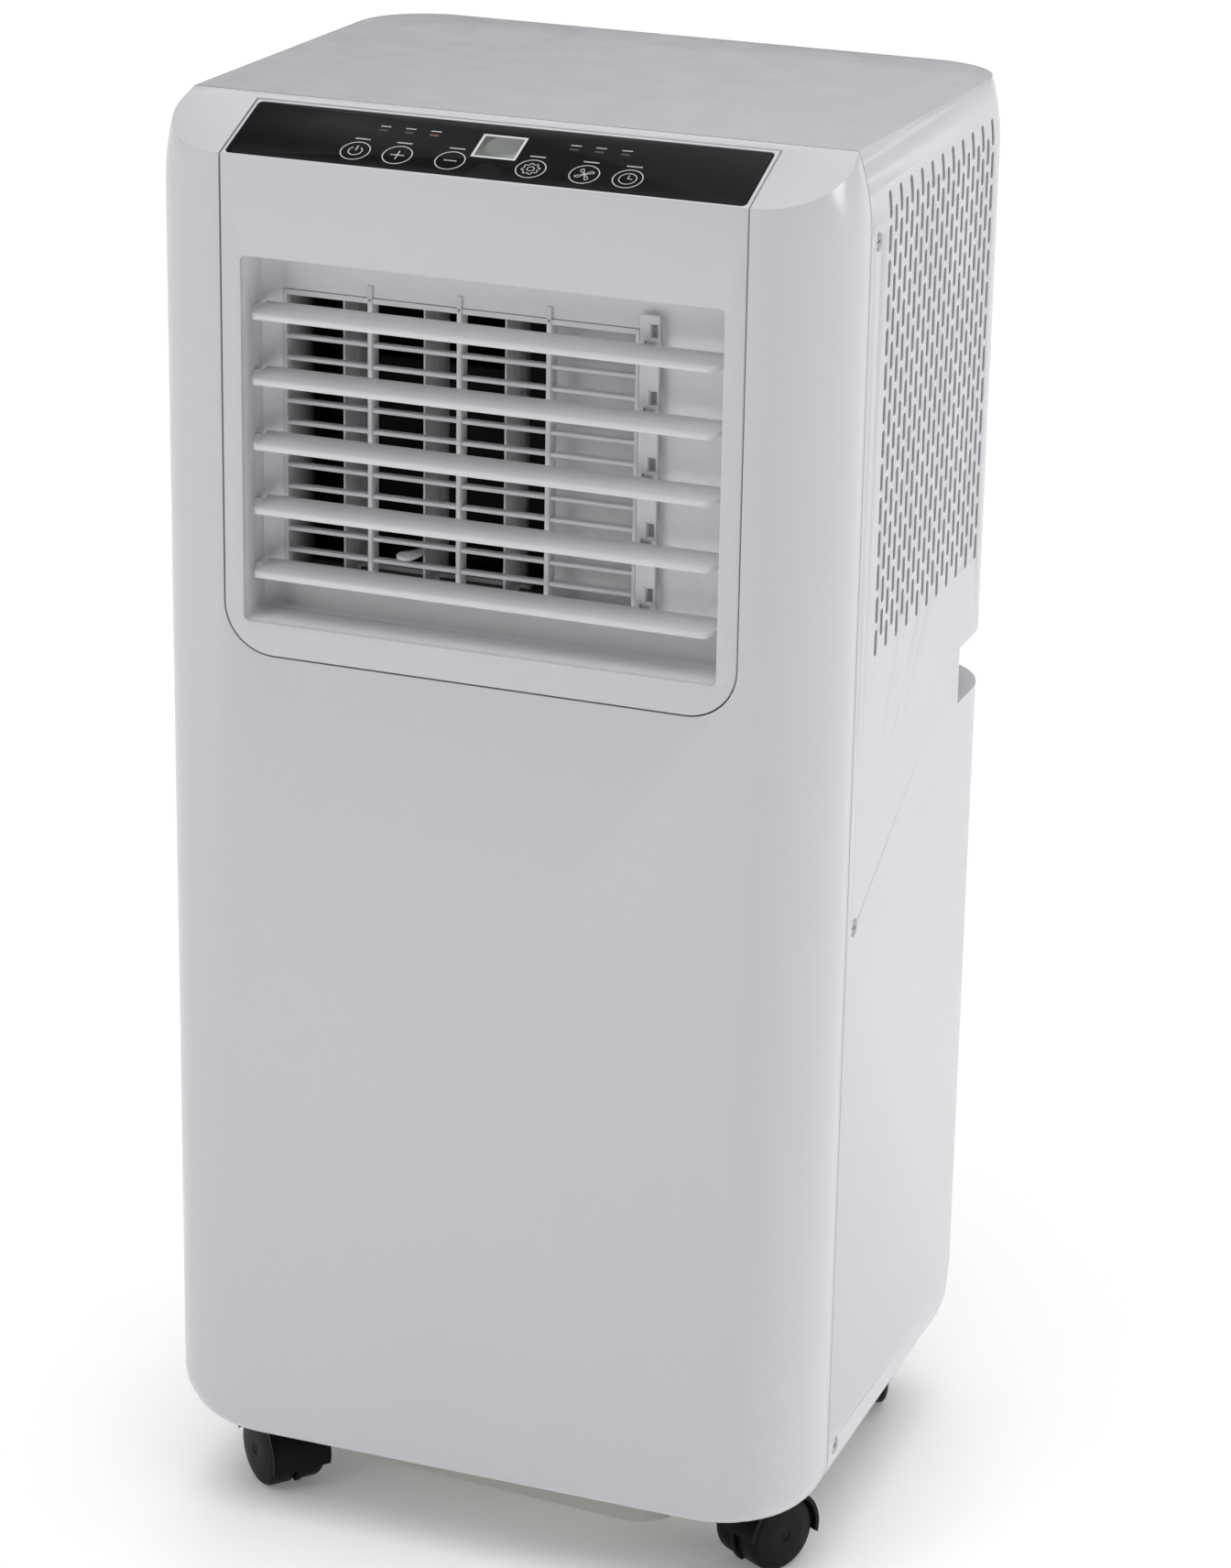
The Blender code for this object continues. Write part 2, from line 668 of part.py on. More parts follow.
def blower(name, fan, inner, outer, blades):
    """Squirrel-cage wheel: hub disc in front, ring behind, straight blades between."""
    front, back = 126.0, 170.0
    disc = rod((0, 0), outer, front, front + 2.5, Y, 32)
    hub = rod((0, 0), 9.0, front - 5, front + 12, Y, 12)
    ring = turned([(inner, back - 3), (outer, back - 3), (outer, back), (inner, back)], (0, 0), Y, 32)
    shapes = [disc, hub, ring]
    step = 2 * math.pi / blades
    for i in range(blades):
        a = i * step + 0.05
        blade = box((inner + 0.8, front + 2, -0.7), (outer - 0.8, back - 2, 0.7))
        bmesh.ops.rotate(blade, verts=blade.verts, cent=(0, 0, 0), matrix=Matrix.Rotation(a, 3, "Y"))
        shapes.append(blade)
    bore = rod((0, 0), 3.2, front - 10, front + 20, Y, 12)
    ribs = together(*shapes[3:])
    piece(name, BLACK_PAINT, [disc, hub, ribs, ring], [bore], at=(fan[0], 0, fan[1]))


def motor(name, fan, radius):
    body = [(0.0, 94.5), (radius * 0.55, 94.5), (radius, 98.0), (radius, 116.0), (11.0, 117.5)]
    body += [(11.0, 119.5), (3.0, 119.5), (3.0, 136.0), (0.0, 136.0)]
    piece(name, STEEL, [turned(body, fan, Y, 20)])


# ---------------------------------------------------------------- rear fittings


def filter_frame(name, half, low, high, rows):
    """Slotted intake panel that pulls straight off the back."""
    back = DEPTH
    front = DEPTH - 4.0
    plate = box((-half + GAP, front, low + GAP), (half - GAP, back, high - GAP))
    border, mullion = 8.0, 4.0
    pitch = (high - low - 2 * border) / rows
    wide = (2 * half - 2 * border - 2 * mullion) / 3
    gaps = []
    for row in range(rows):
        z = low + border + row * pitch
        for column in range(3):
            x = -half + border + column * (wide + mullion)
            gaps.append(box((x, front - 5, z + 2.5), (x + wide, back + 5, z + pitch - 2.5)))
    piece(name + "_frame", WHITE, [plate], [together(*gaps)])
    sheet = box((-half + 4, front - 1.5, low + 4), (half - 4, front - GAP, high - 4))
    piece(name + "_mesh", MESH_GREY, [sheet])


def exhaust_collar():
    inside = DEPTH - WALL - GAP
    profile = [
        (COLLAR_INNER, DEPTH - 12),
        (COLLAR_OUTER, DEPTH - 12),
        (COLLAR_OUTER, inside - 3),
        (COLLAR_OUTER + 4.5, inside - 3),
        (COLLAR_OUTER + 4.5, inside),
        (COLLAR_OUTER, inside),
        (COLLAR_OUTER, DEPTH + COLLAR_STANDS),
        (COLLAR_INNER, DEPTH + COLLAR_STANDS),
    ]
    piece("exhaust_collar", WHITE, [turned(profile, (0, COLLAR_HEIGHT), Y, 32)])


def exhaust_duct():
    half, low, high = 74.0, 194.0, 342.0
    front, back = COIL_FRONT, DEPTH - 12 - GAP
    outer = box((-half, front, low), (half, back, high))
    inner = box((-half + 2, front + 2, low + 2), (half - 2, back - 2, high - 2))
    port = rod((0, COLLAR_HEIGHT), COLLAR_INNER, back - 5, back + 5, Y, 32)
    inlet = box((-37, front - 5, 222), (22.5, front + 5, 331))
    piece("exhaust_duct", DUCT_WHITE, [outer], [inner, port, inlet])


def plug(name, where):
    x, z = where
    cap = [(0.0, 262.0), (5.9, 262.0), (5.9, DEPTH + GAP), (9.0, DEPTH + GAP)]
    cap += [(9.0, DEPTH + 3.5), (7.5, DEPTH + 5.0), (0.0, DEPTH + 5.0)]
    piece(name, WHITE, [turned(cap, (0, 0), Y, 16)], at=(x, 0, z))


def cord_gland():
    profile = [(3.6, 260.0), (7.0, 260.0), (7.0, DEPTH + GAP), (10.0, DEPTH + GAP)]
    profile += [(10.0, DEPTH + 2.0), (6.5, DEPTH + 4.5), (3.6, DEPTH + 4.5)]
    piece("cord_gland", CASTER_BLACK, [turned(profile, GLAND, Y, 16)])


# ---------------------------------------------------------------- inside


def caster_spots():
    return [(x, y) for x, y, _ in CASTERS.values()]


def base_pan():
    """Floor of the machine: a plate with caster sockets and a tub that slopes to one side."""
    plate = prism(rounded((-153, 4), (153, 247), 30, 4), PAN_HEIGHT, PAN_HEIGHT + 3, Z)
    fall = (TUB_LEFT_HEIGHT - TUB_RIGHT_HEIGHT) / (2 * TUB_HALF)

    def tub(name, inset, top):
        half = TUB_HALF - inset
        near, far = TUB_FRONT + inset, TUB_BACK - inset
        left, right = TUB_LEFT_HEIGHT + inset, TUB_RIGHT_HEIGHT + inset
        outline = [
            (-half, left - fall * inset),
            (half, right + fall * inset),
            (half, top),
            (-half, top),
        ]
        block = helper(name, prism(outline, near, far, Y))
        corners = rounded((-half, near), (half, far), TUB_CORNER - inset, 6)
        combine(block, "INTERSECT", helper(name + "_corners", prism(corners, 0, 80, Z)))
        return block

    pan = mesh_object("base_pan", plate, (0, 0, 0), 0.0)
    pan.data.materials.append(material("base_pan", PAN_GREY))
    for name, operation, inset, top, clear in (
        ("tub", "UNION", 0.0, PAN_HEIGHT + 1, SWEEP),
        ("tub_inside", "DIFFERENCE", WALL, PAN_HEIGHT + 5, SWEEP + WALL),
    ):
        block = tub(name, inset, top)
        arches = [rod(spot, clear, 0, PAN_HEIGHT + 10 * (inset > 0), Z, 24) for spot in caster_spots()]
        combine(block, "DIFFERENCE", helper(name + "_arches", together(*arches)))
        combine(pan, operation, block)
    bosses = [rod(spot, 9.0, BELLY + 0.2, 62.0, Z, 16) for spot in caster_spots()]
    sockets = [rod(spot, 4.3, 0.0, 60.0, Z, 12) for spot in caster_spots()]
    combine(pan, "UNION", helper("caster_bosses", together(*bosses)))
    combine(pan, "DIFFERENCE", helper("caster_sockets", together(*sockets)))


def deck_plate():
    outline = rounded((-HALF + 3, 3), (HALF - 3, DEPTH - 3), CORNER - 3, 4)
    plate = prism(outline, DECK_HEIGHT, DECK_HEIGHT + 2.5, Z)
    pipes = box((-152, 186, DECK_HEIGHT - 5), (-124, 232, DECK_HEIGHT + 8))
    piece("deck_plate", STEEL, [plate], [pipes])


def coil(name, low, high, rows):
    """Finned block with its tubes standing out at both ends."""
    block = box((-114, COIL_FRONT, low), (114, COIL_BACK, high))
    pitch = (high - low) / rows
    middle = (COIL_FRONT + COIL_BACK) / 2
    tubes = [rod((middle, low + pitch * (i + 0.5)), 5.0, -121, 121, X, 8) for i in range(rows)]
    piece(name, FIN, [block, together(*tubes)])


def compressor():
    x, y = COMPRESSOR
    body = [(0, 62), (44, 62), (50, 68), (50, 180), (44, 192), (24, 200), (0, 202)]
    corners = [(x + 64 * math.cos(a), y + 64 * math.sin(a)) for a in (0.6, 2.7, 4.8)]
    plate = prism(corners, 60, 63, Z)
    feet = [
        rod((x + (fx - x) * 0.86, y + (fy - y) * 0.86), 6.5, PAN_HEIGHT + 3 + GAP, 61, Z, 12)
        for fx, fy in corners
    ]
    piece("compressor", BLACK_PAINT, [turned(body, COMPRESSOR, Z, 24), plate, together(*feet)])


def accumulator():
    body = [(0, 72), (10, 73), (18, 80), (18, 150), (10, 160), (0, 161)]
    piece("accumulator", BLACK_PAINT, [turned(body, (-8, 66), Z, 16)])


def pipe(name, route, radius):
    """Copper tube through the points of its route."""
    curve = bpy.data.curves.new(name, "CURVE")
    curve.dimensions = "3D"
    curve.resolution_u = 4
    curve.bevel_depth = radius * METRES
    curve.bevel_resolution = 2
    curve.use_fill_caps = True
    spline = curve.splines.new("BEZIER")
    spline.bezier_points.add(len(route) - 1)
    for knot, point in zip(spline.bezier_points, route):
        knot.co = Vector(point) * METRES
        knot.handle_left_type = "AUTO"
        knot.handle_right_type = "AUTO"
    curve.materials.append(material(name, COPPER))
    place(bpy.data.objects.new(name, curve), (0, 0, 0), 0.0)


def pipes():
    pipe("discharge_pipe", [(-70, 84, 203), (-72, 90, 232), (-100, 130, 246), (-128, 185, 226), (-131, 208, 181)], 4)
    pipe("suction_pipe", [(-8, 66, 162), (-10, 62, 200), (-60, 60, 262), (-118, 90, 290), (-134, 180, 318), (-134, 208, 360)], 4.5)
    pipe("capillary_tube", [(-129, 216, 80), (-140, 222, 150), (-140, 222, 250), (-138, 222, 360), (-128, 216, 380)], 1.6)


def control_box():
    shell = box((36, 12, 62), (140, 56, 190))
    space = box((38, 14, 64), (138, 54, 188))
    access = box((44, 50, 72), (132, 60, 180))
    piece("control_box", STEEL, [shell], [space, access])
    piece("fan_capacitor", FIN, [rod((104, 34), 15, 191, 246, Z, 16)])


# ---------------------------------------------------------------- casters


def caster(name, x, y, angle):
    """Twin-wheel swivel caster: hood and stem on one upright axis, wheel pair on its axle."""
    axle = (-TRAIL, WHEEL)
    cover = []
    for radius, angles in ((WHEEL + 2.8, range(-10, 171, 20)), (WHEEL + 0.8, range(170, -11, -20))):
        for a in angles:
            turn = math.radians(a)
            cover.append((axle[0] - radius * math.cos(turn), axle[1] + radius * math.sin(turn)))
    shapes = [
        prism(cover, -HOOD_HALF, HOOD_HALF, X),
        rod(axle, WHEEL + 1.5, -WHEEL_INNER + 0.8, WHEEL_INNER - 0.8, X, 24),
        rod((0, 0), WHEEL_INNER - 0.8, 31.0, 40.0, Z, 16),
        rod((0, 0), 8.0, 39.0, BELLY - 1.0, Z, 16),
        rod((0, 0), 4.0, 35.0, 58.0, Z, 12),
    ]
    notch = box((-10, axle[0] - 30, -5), (10, axle[0] + 30, WHEEL - 9))
    hole = rod(axle, 3.9, -30, 30, X, 12)
    at = (x, y, 0)
    piece(f"caster_hood_{name}", CASTER_BLACK, shapes, [notch, hole], at=at, turn=angle)
    rim = WHEEL - 1.5
    profile = [
        (0.0, -WHEEL_OUTER), (rim - 3, -WHEEL_OUTER), (rim, -WHEEL_OUTER + 1.5), (WHEEL, -WHEEL_OUTER + 4),
        (WHEEL, -WHEEL_INNER - 1), (rim, -WHEEL_INNER), (3.5, -WHEEL_INNER),
        (3.5, WHEEL_INNER), (rim, WHEEL_INNER), (WHEEL, WHEEL_INNER + 1),
        (WHEEL, WHEEL_OUTER - 4), (rim, WHEEL_OUTER - 1.5), (rim - 3, WHEEL_OUTER), (0.0, WHEEL_OUTER),
    ]  # fmt: skip
    wheels = turned(profile, (0, 0), X, 24)
    offset = Matrix.Rotation(math.radians(angle), 3, "Z") @ Vector((0, -TRAIL, 0))
    at = (x + offset.x, y + offset.y, WHEEL)
    piece(f"caster_wheels_{name}", CASTER_BLACK, [wheels], at=at, turn=angle)


# ---------------------------------------------------------------- assembly

for old in list(bpy.data.objects):
    bpy.data.objects.remove(old)

CABINET = bpy.data.objects.new("cabinet", None)
CABINET.location = (0.0, FRONT * METRES, 0.0)
bpy.context.scene.collection.objects.link(CABINET)

front_shell()
rear_shell()
side_screws()
outlet_panel()
control_strip()
outlet_grille()
louvres()
louvre_link()
vanes()
vane_link()
outlet_duct()
fan_scrolls()
blower("upper_blower", UPPER_FAN, 54.0, 68.0, 24)
blower("lower_blower", LOWER_FAN, 42.0, 54.0, 24)
motor("upper_motor", UPPER_FAN, 34.0)
motor("lower_motor", LOWER_FAN, 32.0)
filter_frame("upper_filter", *FILTER_UPPER)
filter_frame("lower_filter", *FILTER_LOWER)
exhaust_collar()
exhaust_duct()
plug("drain_plug_upper", PLUG_UPPER)
plug("drain_plug_lower", PLUG_LOWER)
cord_gland()
base_pan()
deck_plate()
coil("evaporator_coil", 362.0, 630.0, 6)
coil("condenser_coil", 66.0, 190.0, 3)
compressor()
accumulator()
pipes()
control_box()
for caster_name, (caster_x, caster_y, caster_angle) in CASTERS.items():
    caster(caster_name, caster_x, caster_y, caster_angle)
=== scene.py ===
"""Looks of the portable air conditioner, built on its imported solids.

Shapes are drawn in millimetres in the cabinet's own axes: x across, y back from the front face, z up.
"""

import json
import math

import bmesh
import bpy
from mathutils import Matrix, Vector


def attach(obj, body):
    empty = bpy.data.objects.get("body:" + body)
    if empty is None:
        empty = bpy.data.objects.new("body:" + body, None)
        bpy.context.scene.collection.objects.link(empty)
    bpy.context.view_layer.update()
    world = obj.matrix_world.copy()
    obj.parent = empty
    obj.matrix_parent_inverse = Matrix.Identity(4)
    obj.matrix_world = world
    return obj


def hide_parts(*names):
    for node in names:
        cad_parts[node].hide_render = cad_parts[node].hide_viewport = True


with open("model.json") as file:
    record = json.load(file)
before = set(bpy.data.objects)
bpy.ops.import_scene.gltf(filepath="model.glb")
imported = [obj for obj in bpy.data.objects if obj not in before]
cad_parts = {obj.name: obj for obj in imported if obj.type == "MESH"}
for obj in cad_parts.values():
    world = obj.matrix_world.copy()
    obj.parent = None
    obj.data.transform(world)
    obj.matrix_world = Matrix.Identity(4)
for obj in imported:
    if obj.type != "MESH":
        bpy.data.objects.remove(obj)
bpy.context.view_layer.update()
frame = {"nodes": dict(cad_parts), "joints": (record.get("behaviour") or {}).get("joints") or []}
NODES = frame["nodes"]

MM = 0.001
X, Y, Z = 0, 1, 2
WIDTH, DEPTH, TOP = 325.0, 270.0, 690.0
HALF = WIDTH / 2
FRONT = -139.0
BELLY = 44.3
WALL = 2.5
CORNER = 37.0
CORNER_STEPS = 16
SIDE_FOOT, FRONT_FOOT, BACK_FOOT = 21.0, 5.0, 40.0
SHOULDER, SHOULDER_INSET = 37.0, 7.0
FLOOR_HALF, FLOOR_NEAR, FLOOR_FAR = 141, 6, 229
CREASE = 45.3
SLOPE = 0.4
SLOPE_ANGLE = math.atan(SLOPE)
ROOF_FALL = 6.0 / 210.0
SEAM = 0.6

PANEL_HALF, PANEL_FOOT, PANEL_CORNER = 122.9, TOP - 247.9, 24.0
RECESS_HALF, RECESS_LOW, RECESS_HIGH = 113.0, TOP - 232.0, TOP - 63.0
RECESS_DEEP = 30.0
RECESS_CORNER = 2.5
MOUTH_DEEP = 22.5
PANEL_FAR = 41.0
WINDOW_LEFT, WINDOW_RIGHT = -106.0, 64.0
WINDOW_LOW, WINDOW_HIGH = TOP - 220.0, TOP - 84.0
RIBS = (-63.6, -20.8, 21.7)
BAR_PITCH = 10.0
LOUVRES, LOUVRE_PITCH, LOUVRE_DEEP = 5, 30.0, 15.0
LOUVRE_TOP, LOUVRE_TILT, LOUVRE_HALF = TOP - 90.3, 9.0, 110.5
LINK_X, LINK_DEEP = 70.0, 26.2
VANES, VANE_DEEP = (-80.0, -41.0, -2.0), 52.0

STRIP_HALF, STRIP_NEAR, STRIP_FAR = 120.4, 1.1, 38.4
KEYS = {"power": -62.4, "plus": -42.6, "minus": -17.9, "gear": 19.5, "fan": 44.1, "clock": 63.9}
KEY_S, KEY_RING = 11.8, 6.6
LAMPS, TIMER_LAMP = (-55.8, -43.9, 33.2, 44.8, 56.7), -32.0
LAMP_S = 28.9

SCREW_DEPTH, SCREW_HEIGHTS = 56.0, (649.0, 331.5, 68.0)
WHEEL, TRAIL, HOOD_HALF = 19.0, -10.0, 15.3

FLOOR_GLOW, WORLD_LIGHT = 0.13, 0.17
SUNS = (
    ("right_box", 0.08, 50, 90, 12),
    ("far_right_box", 1.0, 24, 106, 12),
    ("back_box", 0.75, 60, 180, 50),
    ("top_box", 1.8, 60, 0, 80),
)
BOX_PLACE, BOX_AIM = Vector((-1.0, -1.7, 1.25)), Vector((0, 0, 0.5))
CAMERA_PLACE = (0.745426, -1.954333, 1.135743)
CAMERA_RIGHT = Vector((0.933935, 0.357089, 0.015891))
CAMERA_DOWN = Vector((0.136975, -0.316473, -0.938660))
CAMERA_AHEAD = Vector((-0.330156, 0.878824, -0.344478))


# ---------------------------------------------------------------- shapes


def box(low, high):
    """A block between two opposite corners."""
    shape = bmesh.new()
    size = [b - a for a, b in zip(low, high)]
    middle = [(a + b) / 2 for a, b in zip(low, high)]
    matrix = Matrix.Translation(middle) @ Matrix.Diagonal((*size, 1.0))
    bmesh.ops.create_cube(shape, size=1.0, matrix=matrix)
    return shape


def loft(rings):
    """A closed skin through rings of as many points each."""
    shape = bmesh.new()
    rows = [[shape.verts.new(point) for point in ring] for ring in rings]
    count = len(rows[0])
    for lower, upper in zip(rows, rows[1:]):
        for i in range(count):
            j = (i + 1) % count
            shape.faces.new((lower[i], lower[j], upper[j], upper[i]))
    shape.faces.new(reversed(rows[0]))
    shape.faces.new(rows[-1])
    bmesh.ops.recalc_face_normals(shape, faces=shape.faces)
    return shape


def prism(outline, start, end, axis):
    """A flat outline drawn out along one axis."""

    def at(point, along):
        place = list(point)
        place.insert(axis, along)
        return place

    return loft([[at(p, start) for p in outline], [at(p, end) for p in outline]])


def circle(centre, radius, sides):
    step = 2 * math.pi / sides
    angles = [i * step for i in range(sides)]
    return [(centre[0] + radius * math.cos(a), centre[1] + radius * math.sin(a)) for a in angles]


def rod(centre, radius, start, end, axis, sides=32):
    return prism(circle(centre, radius, sides), start, end, axis)


def turned(profile, centre, axis, sides):
    """A profile of (radius, along) points turned once round an axis."""
    shape = bmesh.new()
    columns = []
    for turn in circle((0.0, 0.0), 1.0, sides):
        column = []
        for radius, along in profile:
            place = [centre[0] + radius * turn[0], centre[1] + radius * turn[1]]
            place.insert(axis, along)
            column.append(shape.verts.new(place))
        columns.append(column)
    count = len(profile)
    for i, column in enumerate(columns):
        following = columns[(i + 1) % sides]
        for a in range(count):
            b = (a + 1) % count
            shape.faces.new((column[a], column[b], following[b], following[a]))
    bmesh.ops.remove_doubles(shape, verts=shape.verts, dist=1e-5)
    bmesh.ops.dissolve_degenerate(shape, edges=shape.edges, dist=1e-5)
    bmesh.ops.recalc_face_normals(shape, faces=shape.faces)
    return shape


def together(*shapes):
    """Several shapes as one cutter, left apart."""
    whole = bmesh.new()
    for shape in shapes:
        mesh = bpy.data.meshes.new("part")
        shape.to_mesh(mesh)
        whole.from_mesh(mesh)
        bpy.data.meshes.remove(mesh)
    return whole


def rounded(low, high, radius, steps):
    """A rectangle with round corners, from its right low corner round to its left low one."""
    corners = (
        (high[0] - radius, low[1] + radius, -90),
        (high[0] - radius, high[1] - radius, 0),
        (low[0] + radius, high[1] - radius, 90),
        (low[0] + radius, low[1] + radius, 180),
    )
    points = []
    for x, y, first in corners:
        for i in range(steps + 1):
            a = math.radians(first + 90 * i / steps)
            points.append((x + radius * math.cos(a), y + radius * math.sin(a)))
    return points


# ---------------------------------------------------------------- objects


def raw(name, shape, at=(0, 0, 0), turn=0.0):
    """A mesh object in metres, its place held in its points."""
    matrix = Matrix.Translation(Vector((at[0], at[1] + FRONT, at[2])))
    matrix = Matrix.Scale(MM, 4) @ matrix @ Matrix.Rotation(math.radians(turn), 4, "Z")
    bmesh.ops.transform(shape, matrix=matrix, verts=shape.verts)
    mesh = bpy.data.meshes.new(name)
    shape.to_mesh(mesh)
    shape.free()
    obj = bpy.data.objects.new(name, mesh)
    bpy.context.scene.collection.objects.link(obj)
    return obj


def bake(obj):
    """Turns an object's modifiers into its mesh."""
    graph = bpy.context.evaluated_depsgraph_get()
    mesh = bpy.data.meshes.new_from_object(obj.evaluated_get(graph))
    old = obj.data
    obj.modifiers.clear()
    obj.data = mesh
    mesh.name = obj.name
    bpy.data.meshes.remove(old)
    return obj


def combine(obj, *steps):
    """Booleans in order: each step is an operation and an object, which is used up."""
    for operation, tool in steps:
        modifier = obj.modifiers.new(operation, "BOOLEAN")
        modifier.operation = operation
        modifier.solver = "EXACT"
        modifier.object = tool
    bake(obj)
    for _, tool in steps:
        bpy.data.objects.remove(tool)
    return obj


def less(obj, *shapes, at=(0, 0, 0), turn=0.0):
    return combine(obj, *[("DIFFERENCE", raw("cut", s, at, turn)) for s in shapes])


def plus(obj, *shapes, at=(0, 0, 0), turn=0.0):
    return combine(obj, *[("UNION", raw("add", s, at, turn)) for s in shapes])


def soften(obj, width, angle, segments=2):
    """Rounds the edges that are sharper than an angle."""
    modifier = obj.modifiers.new("edges", "BEVEL")
    modifier.width = width * MM
    modifier.segments = segments
    modifier.limit_method = "ANGLE"
    modifier.angle_limit = math.radians(angle)
    return bake(obj)


def finish(obj, look, body, *nodes, slot, sharp=40):
    """Shading, material, the body it rides on and the nodes it stands for."""
    obj.data.shade_smooth()
    obj.data.set_sharp_from_angle(angle=math.radians(sharp))
    obj.data.materials.clear()
    obj.data.materials.append(look)
    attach(obj, body)
    if nodes:
        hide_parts(*nodes)
    return obj


# ---------------------------------------------------------------- materials


class Graph:
    """A small helper for building a shader out of nodes."""

    def __init__(self, name):
        self.material = bpy.data.materials.new(name)
        self.material.use_nodes = True
        self.tree = self.material.node_tree
        self.shader = self.tree.nodes["Principled BSDF"]
        self.place = self.add("ShaderNodeTexCoord").outputs["Object"]

    def add(self, kind, links=(), **settings):
        node = self.tree.nodes.new(kind)
        for key, value in settings.items():
            setattr(node, key, value)
        for socket, source in dict(links).items():
            if isinstance(source, bpy.types.NodeSocket):
                self.tree.links.new(source, node.inputs[socket])
            else:
                node.inputs[socket].default_value = source
        return node

    def stretch(self, scale):
        return self.add("ShaderNodeMapping", {"Vector": self.place, "Scale": scale}).outputs[0]

    def noise(self, scale, detail=3.0, rough=0.5, place=None):
        links = {"Vector": place or self.place, "Scale": scale, "Detail": detail, "Roughness": rough}
        return self.add("ShaderNodeTexNoise", links).outputs["Fac"]

    def ramp(self, value, low, high, to_low, to_high):
        links = {"Value": value, "From Min": low, "From Max": high}
        links |= {"To Min": to_low, "To Max": to_high}
        return self.add("ShaderNodeMapRange", links).outputs[0]

    def blend(self, value, first, second):
        node = self.add("ShaderNodeMix", data_type="RGBA")
        self.tree.links.new(value, node.inputs[0])
        for socket, colour in ((6, first), (7, second)):
            if isinstance(colour, bpy.types.NodeSocket):
                self.tree.links.new(colour, node.inputs[socket])
            else:
                node.inputs[socket].default_value = (*colour, 1.0)
        return node.outputs[2]

    def colour(self, socket):
        self.tree.links.new(socket, self.shader.inputs["Base Color"])

    def roughness(self, socket):
        self.tree.links.new(socket, self.shader.inputs["Roughness"])

    def bump(self, height, distance):
        links = {"Height": height, "Distance": distance, "Strength": 1.0}
        node = self.add("ShaderNodeBump", links)
        self.tree.links.new(node.outputs[0], self.shader.inputs["Normal"])

    def set(self, **values):
        for key, value in values.items():
            self.shader.inputs[key.replace("_", " ")].default_value = value


def tone(colour, factor):
    return tuple(min(1.0, c * factor) for c in colour)


def plastic(name, colour, rough, spread=0.03, grain=0.0000008, shine=0.5, inner=None):
    """Moulded plastic: slow drifts of tone, uneven gloss and a fine grain.

    A part with an inside shifts to a second tone behind a depth, below a height; that tone is painted
    light or painted shade, lighter in the outlet recess and darker deep in the duct.
    """
    g = Graph(name)
    drift = g.noise(9.0, 4.0)
    base = g.blend(drift, tone(colour, 1 - spread), tone(colour, 1 + spread))
    if inner:
        # The given tone is painted: lighter for light in the outlet recess, darker for shade deep in the
        # duct.
        depth, height, shade = inner
        parts = g.add("ShaderNodeSeparateXYZ", {0: g.place}).outputs
        inside = g.ramp(parts[1], (FRONT + depth[0]) * MM, (FRONT + depth[1]) * MM, 0.0, 1.0)
        under = g.ramp(parts[2], height * MM, (height + 2) * MM, 1.0, 0.0)
        both = g.add("ShaderNodeMath", {0: inside, 1: under}, operation="MULTIPLY").outputs[0]
        base = g.blend(both, base, shade)
    g.colour(base)
    g.roughness(g.ramp(g.noise(45.0, 5.0, 0.6), 0.3, 0.7, rough - 0.04, rough + 0.05))
    g.bump(g.noise(420.0, 2.0, 0.5), grain)
    g.set(IOR=1.5, Specular_IOR_Level=shine)
    return g.material


def metal(name, colour, rough, stretch=(1, 1, 60)):
    """Metal with fine drawn or brushed lines."""
    g = Graph(name)
    lines = g.noise(60.0, 6.0, 0.7, g.stretch(stretch))
    g.colour(g.blend(lines, tone(colour, 0.82), tone(colour, 1.08)))
    g.roughness(g.ramp(lines, 0.3, 0.7, rough - 0.08, rough + 0.12))
    g.bump(lines, 0.00004)
    g.set(Metallic=1.0)
    return g.material


def fins():
    """Close upright fins over a bare metal block: light bands for the fins, dark bands for the gaps
    between them, which are painted shade.
    """
    g = Graph("coil_fins")
    links = {"Vector": g.place, "Scale": 160.0, "Distortion": 0.3, "Detail": 1.0, "Detail Scale": 4.0}
    wave = g.add("ShaderNodeTexWave", links, wave_type="BANDS", bands_direction="X").outputs["Fac"]
    # Painted shade: the dark bands stand for the shaded gaps between the fins.
    g.colour(g.blend(wave, (0.12, 0.12, 0.13), (0.78, 0.79, 0.81)))
    g.roughness(g.ramp(g.noise(80.0, 4.0), 0.3, 0.7, 0.25, 0.45))
    g.bump(wave, 0.0006)
    g.set(Metallic=1.0)
    return g.material


def netting():
    """Woven nylon filter net, its open holes painted darker as shade seen through the weave."""
    g = Graph("filter_net")
    bands = []
    for direction in ("X", "Z"):
        links = {"Vector": g.place, "Scale": 150.0}
        wave = g.add("ShaderNodeTexWave", links, wave_type="BANDS", bands_direction=direction)
        bands.append(wave.outputs["Fac"])
    both = g.add("ShaderNodeMath", {0: bands[0], 1: bands[1]}, operation="MAXIMUM").outputs[0]
    # Painted shade: the open holes between the threads are darker than the threads.
    g.colour(g.blend(both, (0.01, 0.01, 0.012), (0.11, 0.11, 0.12)))
    g.roughness(g.ramp(g.noise(120.0), 0.3, 0.7, 0.55, 0.8))
    g.bump(both, 0.0004)
    return g.material


def board():
    """Green solder mask with faint tracks."""
    g = Graph("board_mask")
    links = {"Vector": g.place, "Scale": 260.0}
    tracks = g.add("ShaderNodeTexVoronoi", links, distance="MANHATTAN").outputs["Distance"]
    g.colour(g.blend(g.ramp(tracks, 0.1, 0.6, 0, 1), (0.01, 0.10, 0.03), (0.03, 0.22, 0.08)))
    g.roughness(g.ramp(g.noise(70.0), 0.3, 0.7, 0.3, 0.5))
    g.bump(tracks, 0.0001)
    return g.material


